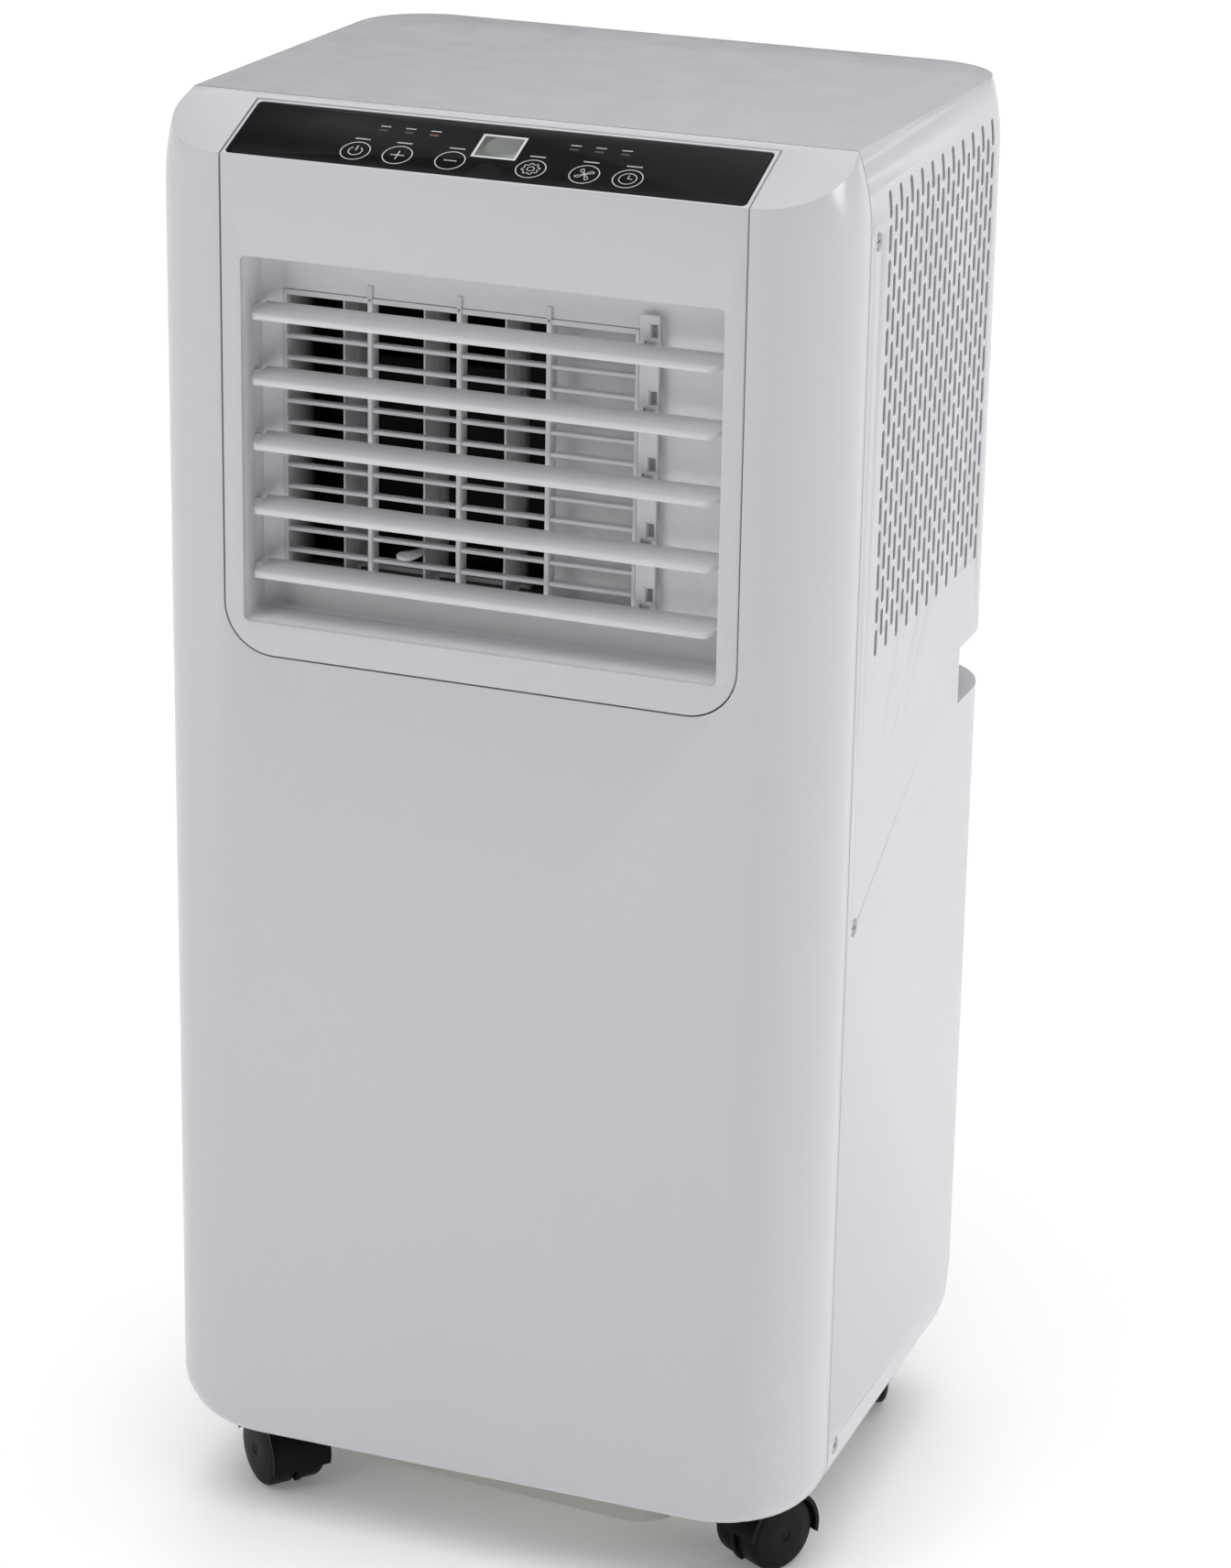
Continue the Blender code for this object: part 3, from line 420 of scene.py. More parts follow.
def gloss_black():
    """Polished film: nearly clear of texture, with a little haze and dust."""
    g = Graph("panel_black")
    dust = g.ramp(g.noise(900.0, 2.0, 0.7), 0.68, 0.78, 0.0, 1.0)
    g.colour(g.blend(dust, (0.008, 0.008, 0.0095), (0.015, 0.015, 0.017)))
    g.roughness(g.ramp(g.noise(35.0, 5.0), 0.3, 0.7, 0.17, 0.28))
    g.bump(g.noise(60.0, 2.0), 0.00001)
    g.set(Specular_IOR_Level=0.05)
    return g.material


def display():
    """Unlit liquid crystal window, darker towards its far edge."""
    g = Graph("display_grey")
    split = g.add("ShaderNodeSeparateXYZ", {0: g.place}).outputs[1]
    shade = g.ramp(split, (FRONT + 15) * MM, (FRONT + 32) * MM, 0.0, 1.0)
    links = {"Vector": g.place, "Scale": 900.0}
    bands = g.add("ShaderNodeTexWave", links, wave_type="BANDS", bands_direction="X").outputs["Fac"]
    base = g.blend(shade, (0.20, 0.225, 0.20), (0.075, 0.08, 0.075))
    g.colour(g.blend(g.ramp(bands, 0.0, 1.0, 0.0, 0.12), base, (0.05, 0.055, 0.05)))
    g.roughness(g.ramp(g.noise(90.0), 0.3, 0.7, 0.10, 0.2))
    g.bump(g.noise(200.0), 0.000005)
    return g.material


CASING_TONE = (0.60, 0.60, 0.632)
DARK = (0.006, 0.006, 0.007)
# Painted light: the outlet recess's inner faces take a lighter white than the panel front, behind a
# depth and below the recess top.
RECESS_PAINTED_LIGHT = ((1.0, 4.0), RECESS_HIGH + 2, (0.74, 0.74, 0.76))
# Painted shade: the outlet duct's liner turns black deep inside, where little light reaches.
DUCT_PAINTED_SHADE = ((42.0, 66.0), TOP, DARK)
WHITE = plastic("casing_white", CASING_TONE, 0.22, spread=0.01)
PANEL_WHITE_RECESS_LIT = plastic("panel_white_recess_lit", CASING_TONE, 0.22, spread=0.01, inner=RECESS_PAINTED_LIGHT)
# Painted light: a lighter white than the casing, raised to brighten the louvres, grille and vanes in the
# outlet recess.
LOUVRE_WHITE_LIT = plastic("louvre_white_lit", (0.70, 0.70, 0.72), 0.36, spread=0.012)
INNER_WHITE = plastic("inner_white", (0.60, 0.60, 0.62), 0.55, spread=0.05, grain=0.00003)
DUCT_LINER_SHADED = plastic("duct_liner_shaded", (0.7, 0.7, 0.72), 0.7, spread=0.04, shine=0.2, inner=DUCT_PAINTED_SHADE)
FOAM = plastic("black_foam", DARK, 0.85, spread=0.3, grain=0.0002, shine=0.1)
PAN = plastic("pan_grey", (0.42, 0.425, 0.385), 0.55, spread=0.05, grain=0.00003)
CASTER = plastic("caster_black", (0.005, 0.005, 0.0062), 0.45, spread=0.25, grain=0.000004, shine=0.12)
FAN = plastic("fan_black", (0.02, 0.02, 0.022), 0.45, spread=0.2)
ENAMEL = plastic("black_enamel", (0.012, 0.012, 0.012), 0.3, spread=0.2, grain=0.00003)
INK = plastic("symbol_ink", (0.55, 0.55, 0.56), 0.5, spread=0.05)
AMBER = plastic("lamp_amber", (0.16, 0.07, 0.035), 0.35, spread=0.2, shine=0.2)
SMOKE = plastic("lamp_smoke", (0.05, 0.045, 0.045), 0.3, spread=0.2, shine=0.2)
DOTS = plastic("sensor_dots", (0.022, 0.022, 0.024), 0.4, spread=0.1, shine=0.1)
STEEL = metal("steel_zinc", (0.55, 0.55, 0.56), 0.38)
ALUMINIUM = metal("fin_aluminium", (0.72, 0.73, 0.75), 0.32)
COPPER = metal("tube_copper", (0.72, 0.36, 0.20), 0.3, (60, 60, 1))
FINS = fins()
NET = netting()
BOARD = board()
BLACK = gloss_black()
LCD = display()


# ---------------------------------------------------------------- casing


def foot_inset(radius, skin, height):
    """How far a rounded foot edge draws in at a height over the belly."""
    if height >= radius:
        return skin
    return radius - math.sqrt(max((radius - skin) ** 2 - (radius - height) ** 2, 0.0))


def shoulder_inset(z):
    """How far the sides lean in towards the top."""
    share = max(z - (TOP - SHOULDER), 0.0) / SHOULDER
    return SHOULDER_INSET * share * share


def casing(skin, steps=CORNER_STEPS):
    """The body's solid form, drawn in by a skin's thickness."""
    lift = BACK_FOOT - skin
    levels = [BELLY + skin + lift * (1 - math.cos(math.radians(a))) for a in range(0, 91, 6)]
    levels += [BELLY + SIDE_FOOT, BELLY + FRONT_FOOT, BELLY + 0.4 + skin, BELLY + 1.6 + skin]
    levels += [TOP - SHOULDER + SHOULDER * i / 10 for i in range(11)]
    levels.append(TOP + 4.0)
    rings = []
    for z in sorted(set(round(level, 3) for level in levels)):
        h = z - BELLY
        side = HALF - shoulder_inset(z) - foot_inset(SIDE_FOOT, skin, h)
        near = foot_inset(FRONT_FOOT, skin, h)
        far = DEPTH - foot_inset(BACK_FOOT, skin, h)
        outline = rounded((-side, near), (side, far), CORNER - skin, steps)
        rings.append([(x, y, z) for x, y in outline])
    return loft(rings)


def roof_height(y):
    if y < CREASE:
        return TOP - (CREASE - y) * SLOPE
    return TOP - (y - CREASE) * ROOF_FALL


def roof(skin):
    """Everything under the front slope and the nearly level top."""
    near, far = -10, DEPTH + 10
    outline = [(y, roof_height(y) - skin) for y in (near, CREASE, far)]
    outline += [(far, 0.0), (near, 0.0)]
    return prism(outline, -HALF - 20, HALF + 20, X)


def panel_outline(shrink):
    """The outlet panel from the front: round lower corners, open upwards."""
    half = PANEL_HALF - shrink
    radius = PANEL_CORNER - shrink
    low = PANEL_FOOT + shrink
    steps = 12
    lower = rounded((-half, low), (half, low + 4 * radius), radius, steps)
    return [(half, TOP + 20), (-half, TOP + 20), *lower[-steps - 1 :], *lower[: steps + 1]]


def slope_plate(near, far, top, bottom, half):
    """A plate between two depths under the slope."""
    outline = [
        (near, roof_height(near) - top),
        (far, roof_height(far) - top),
        (far, roof_height(far) - bottom),
        (near, roof_height(near) - bottom),
    ]
    return prism(outline, -half, half, X)


def outer_skin(name):
    body = raw(name, casing(0.0))
    combine(body, ("INTERSECT", raw("roof", roof(0.0))))
    return soften(body, 2.2, angle=18, segments=4)


def hollow():
    space = raw("hollow", casing(WALL, 6))
    return combine(space, ("INTERSECT", raw("roof", roof(WALL))))


def floor_opening():
    return box((-FLOOR_HALF, FLOOR_NEAR, 0), (FLOOR_HALF, FLOOR_FAR, BELLY + WALL + 0.5))


def front_shell():
    """The front cover, open where the panel sits."""
    shell = outer_skin("front_shell_skin")
    half = raw("half", box((-200, -20, 0), (200, CREASE - SEAM / 2, 800)))
    combine(shell, ("INTERSECT", half), ("DIFFERENCE", hollow()))
    less(shell, prism(panel_outline(0.0), -10, PANEL_FAR, Y), floor_opening())
    soften(shell, 0.45, angle=50)
    finish(shell, WHITE, "cabinet", "front_shell", slot="casing_white", sharp=50)


def slot_shape(y, low, high, wide):
    """One round-ended slot through both side walls."""
    radius = wide / 2
    outline = []
    for z, first in ((high - radius, 0), (low + radius, 180)):
        for i in range(7):
            a = math.radians(first + 30 * i)
            outline.append((y + radius * math.cos(a), z + radius * math.sin(a)))
    return prism(outline, -HALF - 8, HALF + 8, X)


def side_slots():
    """Short staggered slots in 21 columns."""
    slots = []
    columns, pitch, step, length = 21, 7.695, 15.35, 12.7
    for column in range(columns):
        odd = column % 2
        for row in range(14 - odd):
            high = TOP - 22.0 - step * (row + 0.5 * odd)
            slots.append(slot_shape(72.5 + pitch * column, high - length, high, 3.7))
    return together(*slots)


def grip_housing(side):
    """The wall round a hand grip at a rear corner."""
    low, high = sorted((side * 106.0, side * (HALF + 10)))
    housing = raw("housing", box((low, 202, 383), (high, DEPTH + 10, 423)))
    inner = raw("inner", casing(14.5))
    return combine(housing, ("INTERSECT", raw("outer", casing(1.0))), ("DIFFERENCE", inner))


def grip_pocket(side):
    """The space for the fingers."""
    low, high = sorted((side * 112.0, side * (HALF + 10)))
    pocket = raw("pocket", box((low, 208, 389), (high, DEPTH + 10, 417)))
    return combine(pocket, ("DIFFERENCE", raw("inner", casing(12.0))))


def screw_seats():
    """Countersunk seats for the side screws."""
    seats = []
    for z in SCREW_HEIGHTS:
        for side in (-1, 1):
            face = side * (HALF - 1.3)
            profile = [(0, -6 * side), (2.1, -6 * side), (2.1, 0), (3.9, 0), (4.6, 1.5 * side)]
            profile += [(4.6, 6 * side), (0, 6 * side)]
            seats.append(turned([(r, face + a) for r, a in profile], (SCREW_DEPTH, z), X, 24))
    return together(*seats)


def rear_shell():
    """The rear cover: sides, top and back, with the grips, slots and back openings."""
    shell = outer_skin("rear_shell_skin")
    half = raw("half", box((-200, CREASE + SEAM / 2, 0), (200, 300, 800)))
    combine(shell, ("INTERSECT", half), ("DIFFERENCE", hollow()))
    for side in (-1, 1):
        combine(shell, ("UNION", grip_housing(side)), ("DIFFERENCE", grip_pocket(side)))
    back = (DEPTH - WALL - 5, DEPTH + 5)
    openings = [
        rod((0, 268), 71.5, *back, Y, 64),
        rod((60, 392), 6.3, *back, Y, 24),
        rod((-112, 100), 6.3, *back, Y, 24),
        rod((112, 110), 7.3, *back, Y, 24),
        box((-110, back[0], 436), (110, back[1], 646)),
        box((-92, back[0], 88), (92, back[1], 184)),
    ]
    less(shell, together(*openings), floor_opening())
    less(shell, screw_seats())
    less(shell, side_slots())
    soften(shell, 0.35, angle=50)
    finish(shell, WHITE, "cabinet", "rear_shell", slot="casing_white", sharp=50)


# ---------------------------------------------------------------- front panel


def recess():
    """The mouth of the recess, and its sides that close in at the bottom."""
    low, high = RECESS_LOW, RECESS_HIGH
    mouth = prism(rounded((-RECESS_HALF, low), (RECESS_HALF, high), RECESS_CORNER, 5), -5, MOUTH_DEEP, Y)
    rings = []
    for half, y in ((RECESS_HALF, MOUTH_DEEP - 0.1), (RECESS_HALF - 6.4, RECESS_DEEP)):
        outline = rounded((-half, low + 0.001), (half, high - 0.001), RECESS_CORNER, 5)
        rings.append([(x, y, z) for x, z in outline])
    return mouth, loft(rings)


def outlet_panel():
    """The panel round the air outlet, with the recess and the seat of the strip."""
    edge = PANEL_FAR - 0.5
    skin = [
        (0.0, PANEL_FOOT - 5),
        (0.0, roof_height(0.0)),
        (edge, roof_height(edge)),
        (edge, roof_height(edge) - WALL - 0.2),
        (WALL, roof_height(WALL) - WALL - 0.2),
        (WALL, PANEL_FOOT - 5),
    ]
    panel = raw("outlet_panel_skin", prism(skin, -HALF, HALF, X))
    combine(panel, ("INTERSECT", raw("edge", prism(panel_outline(SEAM), -10, CREASE + 20, Y))))
    soften(panel, 0.8, angle=18, segments=3)
    tub = box(
        (-RECESS_HALF - WALL, 1.2, RECESS_LOW - WALL),
        (RECESS_HALF + WALL, RECESS_DEEP + 2, RECESS_HIGH + WALL),
    )
    plus(panel, tub)
    window = box((WINDOW_LEFT, 25, WINDOW_LOW), (WINDOW_RIGHT, RECESS_DEEP + 5, WINDOW_HIGH))
    less(panel, *recess(), window)
    heights = [LOUVRE_TOP - LOUVRE_PITCH * i for i in range(LOUVRES)]
    holes = [rod((LOUVRE_DEEP, z), 2.3, -118, 118, X, 20) for z in heights]
    less(panel, together(*holes))
    less(panel, strip_block(0.3, -5, 1.1))
    soften(panel, 0.5, angle=50)
    finish(panel, PANEL_WHITE_RECESS_LIT, "cabinet", "outlet_panel", slot="casing_white", sharp=50)


def outlet_grille():
    """The fixed guard: thin level bars, a frame and three ribs."""
    low, high = WINDOW_LOW + 0.3, WINDOW_HIGH - 0.3
    left, right = WINDOW_LEFT + 0.3, WINDOW_RIGHT - 0.3
    bars = []
    z = WINDOW_HIGH - 1.9
    while z > low + 2:
        outline = rounded((RECESS_DEEP - 0.4, z - 1.0), (33.8, z + 1.0), 0.7, 3)
        bars.append(prism(outline, left, right, X))
        z -= BAR_PITCH
    for x in (left + 0.8, right - 0.8):
        bars.append(box((x - 0.8, RECESS_DEEP - 0.6, low), (x + 0.8, 34, high)))
    for z in (low + 0.8, high - 0.6):
        bars.append(box((left, RECESS_DEEP - 0.5, z - 0.6), (right, 33.9, z + 0.6)))
    for x in RIBS:
        low_part = rounded((x - 1.2, RECESS_DEEP - 1.2), (x + 1.2, 36.8), 0.7, 3)
        bars.append(prism(low_part, low, high - 0.1, Z))
        upper = rounded((x - 1.2, RECESS_DEEP - 1.2), (x + 1.2, RECESS_DEEP - 0.1), 0.5, 3)
        bars.append(prism(upper, high - 1, WINDOW_HIGH + 5.4, Z))
    grille = raw("outlet_grille_bars", together(*bars))
    finish(grille, LOUVRE_WHITE_LIT, "cabinet", "outlet_grille", slot="casing_white")


# ---------------------------------------------------------------- louvres and vanes


def louvre_outline():
    """A blunt, rounded front lip that hangs a little, and a thin back edge that sits higher."""
    outline = [
        (-10.0, 0.2), (-9.7, 0.9), (-9.0, 1.35), (-7.6, 1.5), (-3.0, 1.35), (3.0, 1.05),
        (7.2, 0.85), (7.9, 0.45), (7.9, -0.3), (7.2, -0.7), (3.0, -0.75), (-4.0, -0.8),
        (-7.4, -0.95), (-8.6, -1.5), (-9.4, -1.45), (-9.9, -0.9),
    ]  # fmt: skip
    tilt = math.radians(LOUVRE_TILT)
    rise, run = math.sin(tilt), math.cos(tilt)
    return [(y * run - z * rise, y * rise + z * run) for y, z in outline]


def blade_plan():
    """The blade from above: nearly square at its left end, well rounded at its right front corner."""
    corner = 11
    plan = [(-LOUVRE_HALF, 9.0), (-LOUVRE_HALF, -8.5), (2 - LOUVRE_HALF, -10.5)]
    for a in range(0, 91, 9):
        turn = math.radians(a)
        side = LOUVRE_HALF - corner + corner * math.sin(turn)
        plan.append((side, 0.5 - corner * math.cos(turn)))
    return [*plan, (LOUVRE_HALF, 9.0)]


def louvres():
    """Blades with end pins, and a fork and an ear for the link bar."""
    for i in range(LOUVRES):
        at = (0, LOUVRE_DEEP, LOUVRE_TOP - LOUVRE_PITCH * i)
        blade = raw(f"louvre_blade_{i + 1}", prism(louvre_outline(), -111.5, 111.5, X), at)
        combine(blade, ("INTERSECT", raw("plan", prism(blade_plan(), -9, 9, Z), at)))
        soften(blade, 0.4, angle=60, segments=2)
        pins = [rod((0, 0), 2.0, a, b, X, 20) for a, b in ((-114.6, -110), (110, 114.6))]
        fork = box((LINK_X - 3.4, 3.0, -0.6), (LINK_X + 3.4, 9.2, 0.7))
        ear = [(3.5, -0.6), (12.4, -0.6), (12.9, 0.0), (12.4, 0.6), (3.5, 0.6)]
        ear = prism(ear, LINK_X - 1.8, LINK_X + 1.8, X)
        plus(blade, *pins, fork, ear, at=at)
        finish(blade, LOUVRE_WHITE_LIT, f"louvre_{i + 1}", f"louvre_{i + 1}", slot="casing_white")


def louvre_link():
    """Flat bar with a catch and its open window over each blade."""
    at = (LINK_X, LINK_DEEP, LOUVRE_TOP - 2 * LOUVRE_PITCH)
    outline = rounded((-4.5, -69), (4.5, 74), 1.2, 4)
    bar = raw("louvre_link_bar", prism(outline, -1.1, 1.7, Y), at)
    holes = []
    catches = []
    for k in range(-2, 3):
        z = k * LOUVRE_PITCH
        holes.append(box((-2.3, -5, z - 3.7), (2.3, 5, z + 2.6)))
        holes.append(box((0.8, -5, z + 4.0), (4.0, 5, z + 10.2)))
        sill = [(-1.1, z + 2.6), (-1.9, z + 2.6), (-1.9, z + 3.3), (-1.1, z + 4.0)]
        spine = [(-1.1, z + 4.0), (-1.9, z + 4.0), (-1.9, z + 10.4), (-1.1, z + 10.9)]
        catches.append(prism(sill, 0.2, 4.4, X))
        catches.append(prism(spine, -0.6, 0.5, X))
    less(bar, together(*holes), at=at)
    plus(bar, *catches, at=at)
    soften(bar, 0.25, angle=50)
    finish(bar, LOUVRE_WHITE_LIT, "louvre_link", "louvre_link", slot="casing_white")


def vanes():
    """Upright vanes on top and bottom pins, the middle one with the finger lever."""
    for i, x in enumerate(VANES):
        at = (x, VANE_DEEP, 0)
        half = [(0.45, -14), (0.9, -5), (0.9, 5), (0.45, 14)]
        outline = half + [(-a, b) for a, b in reversed(half)]
        vane = raw(f"vane_blade_{i + 1}", prism(outline, 473, 603, Z), at)
        shapes = [
            rod((0, 0), 1.8, 467, 474, Z, 20),
            rod((0, 0), 1.8, 602, 609, Z, 20),
            rod((0, 10), 1.0, 470.2, 474, Z, 16),
        ]
        if i == 1:
            leaf = [(-1.2, -12), (-4.5, -18), (-8.5, -22), (-8.4, -26), (-6.5, -28.6)]
            leaf += [(-4.0, -29.4), (-1.5, -28.4), (0.2, -25), (1.1, -20), (1.2, -12)]
            shapes.append(prism(leaf, 488.2, 489.8, Z))
        plus(vane, *shapes, at=at)
        soften(vane, 0.2, angle=50)
        finish(vane, LOUVRE_WHITE_LIT, f"vane_{i + 1}", f"vane_{i + 1}", slot="casing_white")


# ---------------------------------------------------------------- control strip


def on_strip(x, s, lift):
    """A place on the strip: across, up the slope, and over its face."""
    y = s * math.cos(SLOPE_ANGLE) - lift * math.sin(SLOPE_ANGLE)
    z = roof_height(0.0) + s * math.sin(SLOPE_ANGLE) + lift * math.cos(SLOPE_ANGLE)
    return (x, y, z)


def strip_block(grow, top, bottom):
    """The strip's outline with small round corners, between two depths under the slope."""
    slant = math.sqrt(1 + SLOPE * SLOPE)
    low, high = (STRIP_NEAR - grow) * slant, (STRIP_FAR + grow) * slant
    outline = rounded((-STRIP_HALF - grow, low), (STRIP_HALF + grow, high), 2.2 + grow, 5)
    return loft([[on_strip(x, s, -depth) for x, s in outline] for depth in (bottom, top)])


class Inking:
    """Flat strokes and dots laid just over the strip."""

    LOW, HIGH = 0.01, 0.05

    def __init__(self):
        self.shape = bmesh.new()

    def patch(self, outline):
        low = [self.shape.verts.new(on_strip(x, s, self.LOW)) for x, s in outline]
        high = [self.shape.verts.new(on_strip(x, s, self.HIGH)) for x, s in outline]
        self.shape.faces.new(high)
        self.shape.faces.new(reversed(low))
        for i in range(len(outline)):
            j = (i + 1) % len(outline)
            self.shape.faces.new((low[i], low[j], high[j], high[i]))

    def line(self, a, b, wide):
        dx, ds = b[0] - a[0], b[1] - a[1]
        size = math.hypot(dx, ds)
        nx, ns = -ds / size * wide / 2, dx / size * wide / 2
        ends = [(a[0] - nx, a[1] - ns), (b[0] - nx, b[1] - ns)]
        self.patch([*ends, (b[0] + nx, b[1] + ns), (a[0] + nx, a[1] + ns)])

    def curve(self, points, wide, closed=False):
        pairs = list(zip(points, points[1:]))
        if closed:
            pairs.append((points[-1], points[0]))
        for a, b in pairs:
            self.line(a, b, wide)

    def arc(self, centre, radius, first, last, wide, steps):
        points = []
        for i in range(steps + 1):
            a = math.radians(first + (last - first) * i / steps)
            points.append((centre[0] + radius * math.cos(a), centre[1] + radius * math.sin(a)))
        self.curve(points, wide)

    def dot(self, x, s, radius, sides):
        self.patch(circle((x, s), radius, sides))

    def done(self, name, look, slot):
        bmesh.ops.recalc_face_normals(self.shape, faces=self.shape.faces)
        finish(raw(name, self.shape), look, "cabinet", slot=slot)


def power_symbol(ink, x):
    ink.arc((x, KEY_S), 3.1, 125, 415, 0.5, 20)
    ink.line((x, KEY_S + 0.4), (x, KEY_S + 3.9), 0.55)


def plus_symbol(ink, x):
    ink.line((x - 3.2, KEY_S), (x + 3.2, KEY_S), 0.55)
    ink.line((x, KEY_S + 0.28), (x, KEY_S + 3.2), 0.55)
    ink.line((x, KEY_S - 3.2), (x, KEY_S - 0.28), 0.55)


def minus_symbol(ink, x):
    ink.line((x - 3.0, KEY_S), (x + 3.0, KEY_S), 0.55)


def gear_symbol(ink, x):
    teeth = []
    for i in range(32):
        a = math.radians(i * 11.25 + 5.6)
        r = 4.1 if i % 4 in (0, 1) else 3.2
        teeth.append((x + r * math.cos(a), KEY_S + r * math.sin(a)))
    ink.curve(teeth, 0.42, closed=True)
    ink.arc((x, KEY_S), 1.6, 0, 360, 0.42, 16)


def fan_symbol(ink, x):
    for i in range(4):
        a = math.radians(90 * i + 20)
        petal = []
        for k in range(9):
            t = math.radians(k * 22.5)
            r, w = 4.3 * math.sin(t / 2) ** 0.8 if k else 0.0, 1.5 * math.sin(t)
            across = r * math.cos(a) - w * math.sin(a)
            petal.append((x + across, KEY_S + r * math.sin(a) + w * math.cos(a)))
        ink.curve(petal, 0.4, closed=True)
    ink.dot(x, KEY_S, 0.7, 10)


def clock_symbol(ink, x):
    ink.arc((x, KEY_S), 3.9, 0, 360, 0.42, 32)
    ink.line((x, KEY_S - 0.2), (x, KEY_S + 2.6), 0.42)
    ink.line((x - 0.2, KEY_S - 0.05), (x + 2.1, KEY_S - 0.05), 0.42)


def symbols():
    """Ringed key symbols, with plain bars where the labels go."""
    ink = Inking()
    for x in KEYS.values():
        ink.arc((x, KEY_S), KEY_RING, 0, 360, 0.5, 48)
    power_symbol(ink, KEYS["power"])
    plus_symbol(ink, KEYS["plus"])
    minus_symbol(ink, KEYS["minus"])
    gear_symbol(ink, KEYS["gear"])
    fan_symbol(ink, KEYS["fan"])
    clock_symbol(ink, KEYS["clock"])
    for x in KEYS.values():
        ink.line((x - 3.6, KEY_S + 9.2), (x + 3.6, KEY_S + 9.2), 0.7)
    for x in sorted((*LAMPS, TIMER_LAMP)):
        ink.line((x - 2.4, LAMP_S + 3), (x + 2.4, LAMP_S + 3), 0.6)
    ink.done("control_symbols", INK, "panel_black")


def lamps():
    """Small square lamps, one of them amber."""
    for name, look, places in (
        ("control_lamps", SMOKE, LAMPS),
        ("control_lamp_timer", AMBER, (TIMER_LAMP,)),
    ):
        ink = Inking()
        for x in places:
            low, high = LAMP_S - 0.7, LAMP_S + 0.7
            ink.patch([(x - 2, low), (x + 2, low), (x + 2, high), (x - 2, high)])
        ink.done(name, look, "panel_black")


def sensor_dots():
    """A half round field of faint dots in the middle of the strip."""
    dots = Inking()
    for row in range(8):
        s = 3.0 + row * 1.25
        reach = 7.0 * math.sqrt(max(0.0, 1 - ((s - 2.6) / 9.6) ** 2))
        count = int(reach / 1.25)
        for k in range(-count, count + 1):
            dots.dot(0.65 + k * 1.25 + 0.3 * (row % 2), s, 0.32, 6)
    dots.done("sensor_dots", DOTS, "panel_black")


def control_strip():
    """The black strip, and the display with its rim."""
    strip = raw("control_strip", strip_block(0.0, 0.0, 0.7))
    less(strip, slope_plate(15.3, 31.7, -2, 3, 10.5))
    soften(strip, 0.18, angle=50)
    finish(strip, BLACK, "cabinet", "control_overlay", slot="panel_black")
    glass = raw("display_glass", slope_plate(16.5, 30.5, 0.15, 0.7, 9.2))
    soften(glass, 0.15, angle=50)
    finish(glass, LCD, "cabinet", "display_window", slot="display_grey")
    rim = raw("display_rim", slope_plate(15.4, 31.6, 0.0, 0.6, 10.4))
    less(rim, slope_plate(16.45, 30.55, -2, 3, 9.25))
    soften(rim, 0.12, angle=50)
    finish(rim, LOUVRE_WHITE_LIT, "cabinet", slot="casing_white")


# ---------------------------------------------------------------- screws, casters, pan


def screws():
    """Domed screws with a cross recess."""
    face, y = HALF - 1.0, SCREW_DEPTH
    for side, word in ((-1, "left"), (1, "right")):
        for i, z in enumerate(SCREW_HEIGHTS):
            dome = [(0, face + 0.9), (1.8, face + 0.8), (3.2, face + 0.45), (3.9, face), (1.8, face)]
            dome += [(1.8, face - 9.6), (0, face - 10)]
            name = f"screw_{word}_{i + 1}"
            screw = raw(name, turned([(r, a * side) for r, a in dome], (y, z), X, 24))
            cross = [box((face + 0.1, y - 0.4, z - 2), (face + 3, y + 0.4, z + 2))]
            cross.append(box((face + 0.1, y - 2, z - 0.4), (face + 3, y + 2, z + 0.4)))
            if side < 0:
                for bar in cross:
                    bmesh.ops.scale(bar, vec=(-1, 1, 1), verts=bar.verts)
                    bmesh.ops.reverse_faces(bar, faces=bar.faces)
            less(screw, *cross)
            finish(screw, STEEL, "cabinet", f"side_screw_{word}_{i + 1}", slot="steel_zinc")


def joints_of(prefix):
    found = [joint for joint in frame["joints"] if joint["child"].startswith(prefix)]
    return {joint["child"].removeprefix(prefix): joint for joint in found}


def casters():
    """Each caster where its swivel stands, turned the way its axle points."""
    rolls = joints_of("caster_roll_")
    for name, swivel in joints_of("caster_swivel_").items():
        x, y = swivel["pos_m"][0] / MM, swivel["pos_m"][1] / MM - FRONT
        axis = rolls[name]["axis"]
        turn = math.degrees(math.atan2(axis[1], axis[0]))
        caster(name, x, y, turn)


def hood_arch():
    """The hood from the side: an arch close over the wheels."""
    cover = []
    for reach, angles in ((WHEEL + 2.8, range(-14, 175, 6)), (WHEEL + 0.8, range(174, -15, -6))):
        for a in angles:
            bend = math.radians(a)
            cover.append((TRAIL - reach * math.cos(bend), WHEEL + reach * math.sin(bend)))
    return cover


def wheel_profile():
    """Half of a wheel pair: hub, dished face, round tread and flat inner face."""
    side = [(0.0, 15.5), (1.5, 15.5), (1.9, 15.2), (2.6, 15.2), (3.0, 15.6), (8.0, 15.8)]
    side.append((12.5, 15.4))
    for a in range(0, 91, 15):
        bend = math.radians(a)
        side.append((WHEEL - 4.5 + 4.5 * math.sin(bend), 11.4 + 3.4 * math.cos(bend)))
    return [*side, (WHEEL, 2.6), (WHEEL - 0.4, 2.1), (WHEEL - 1.2, 2.0), (3.5, 2.0)]


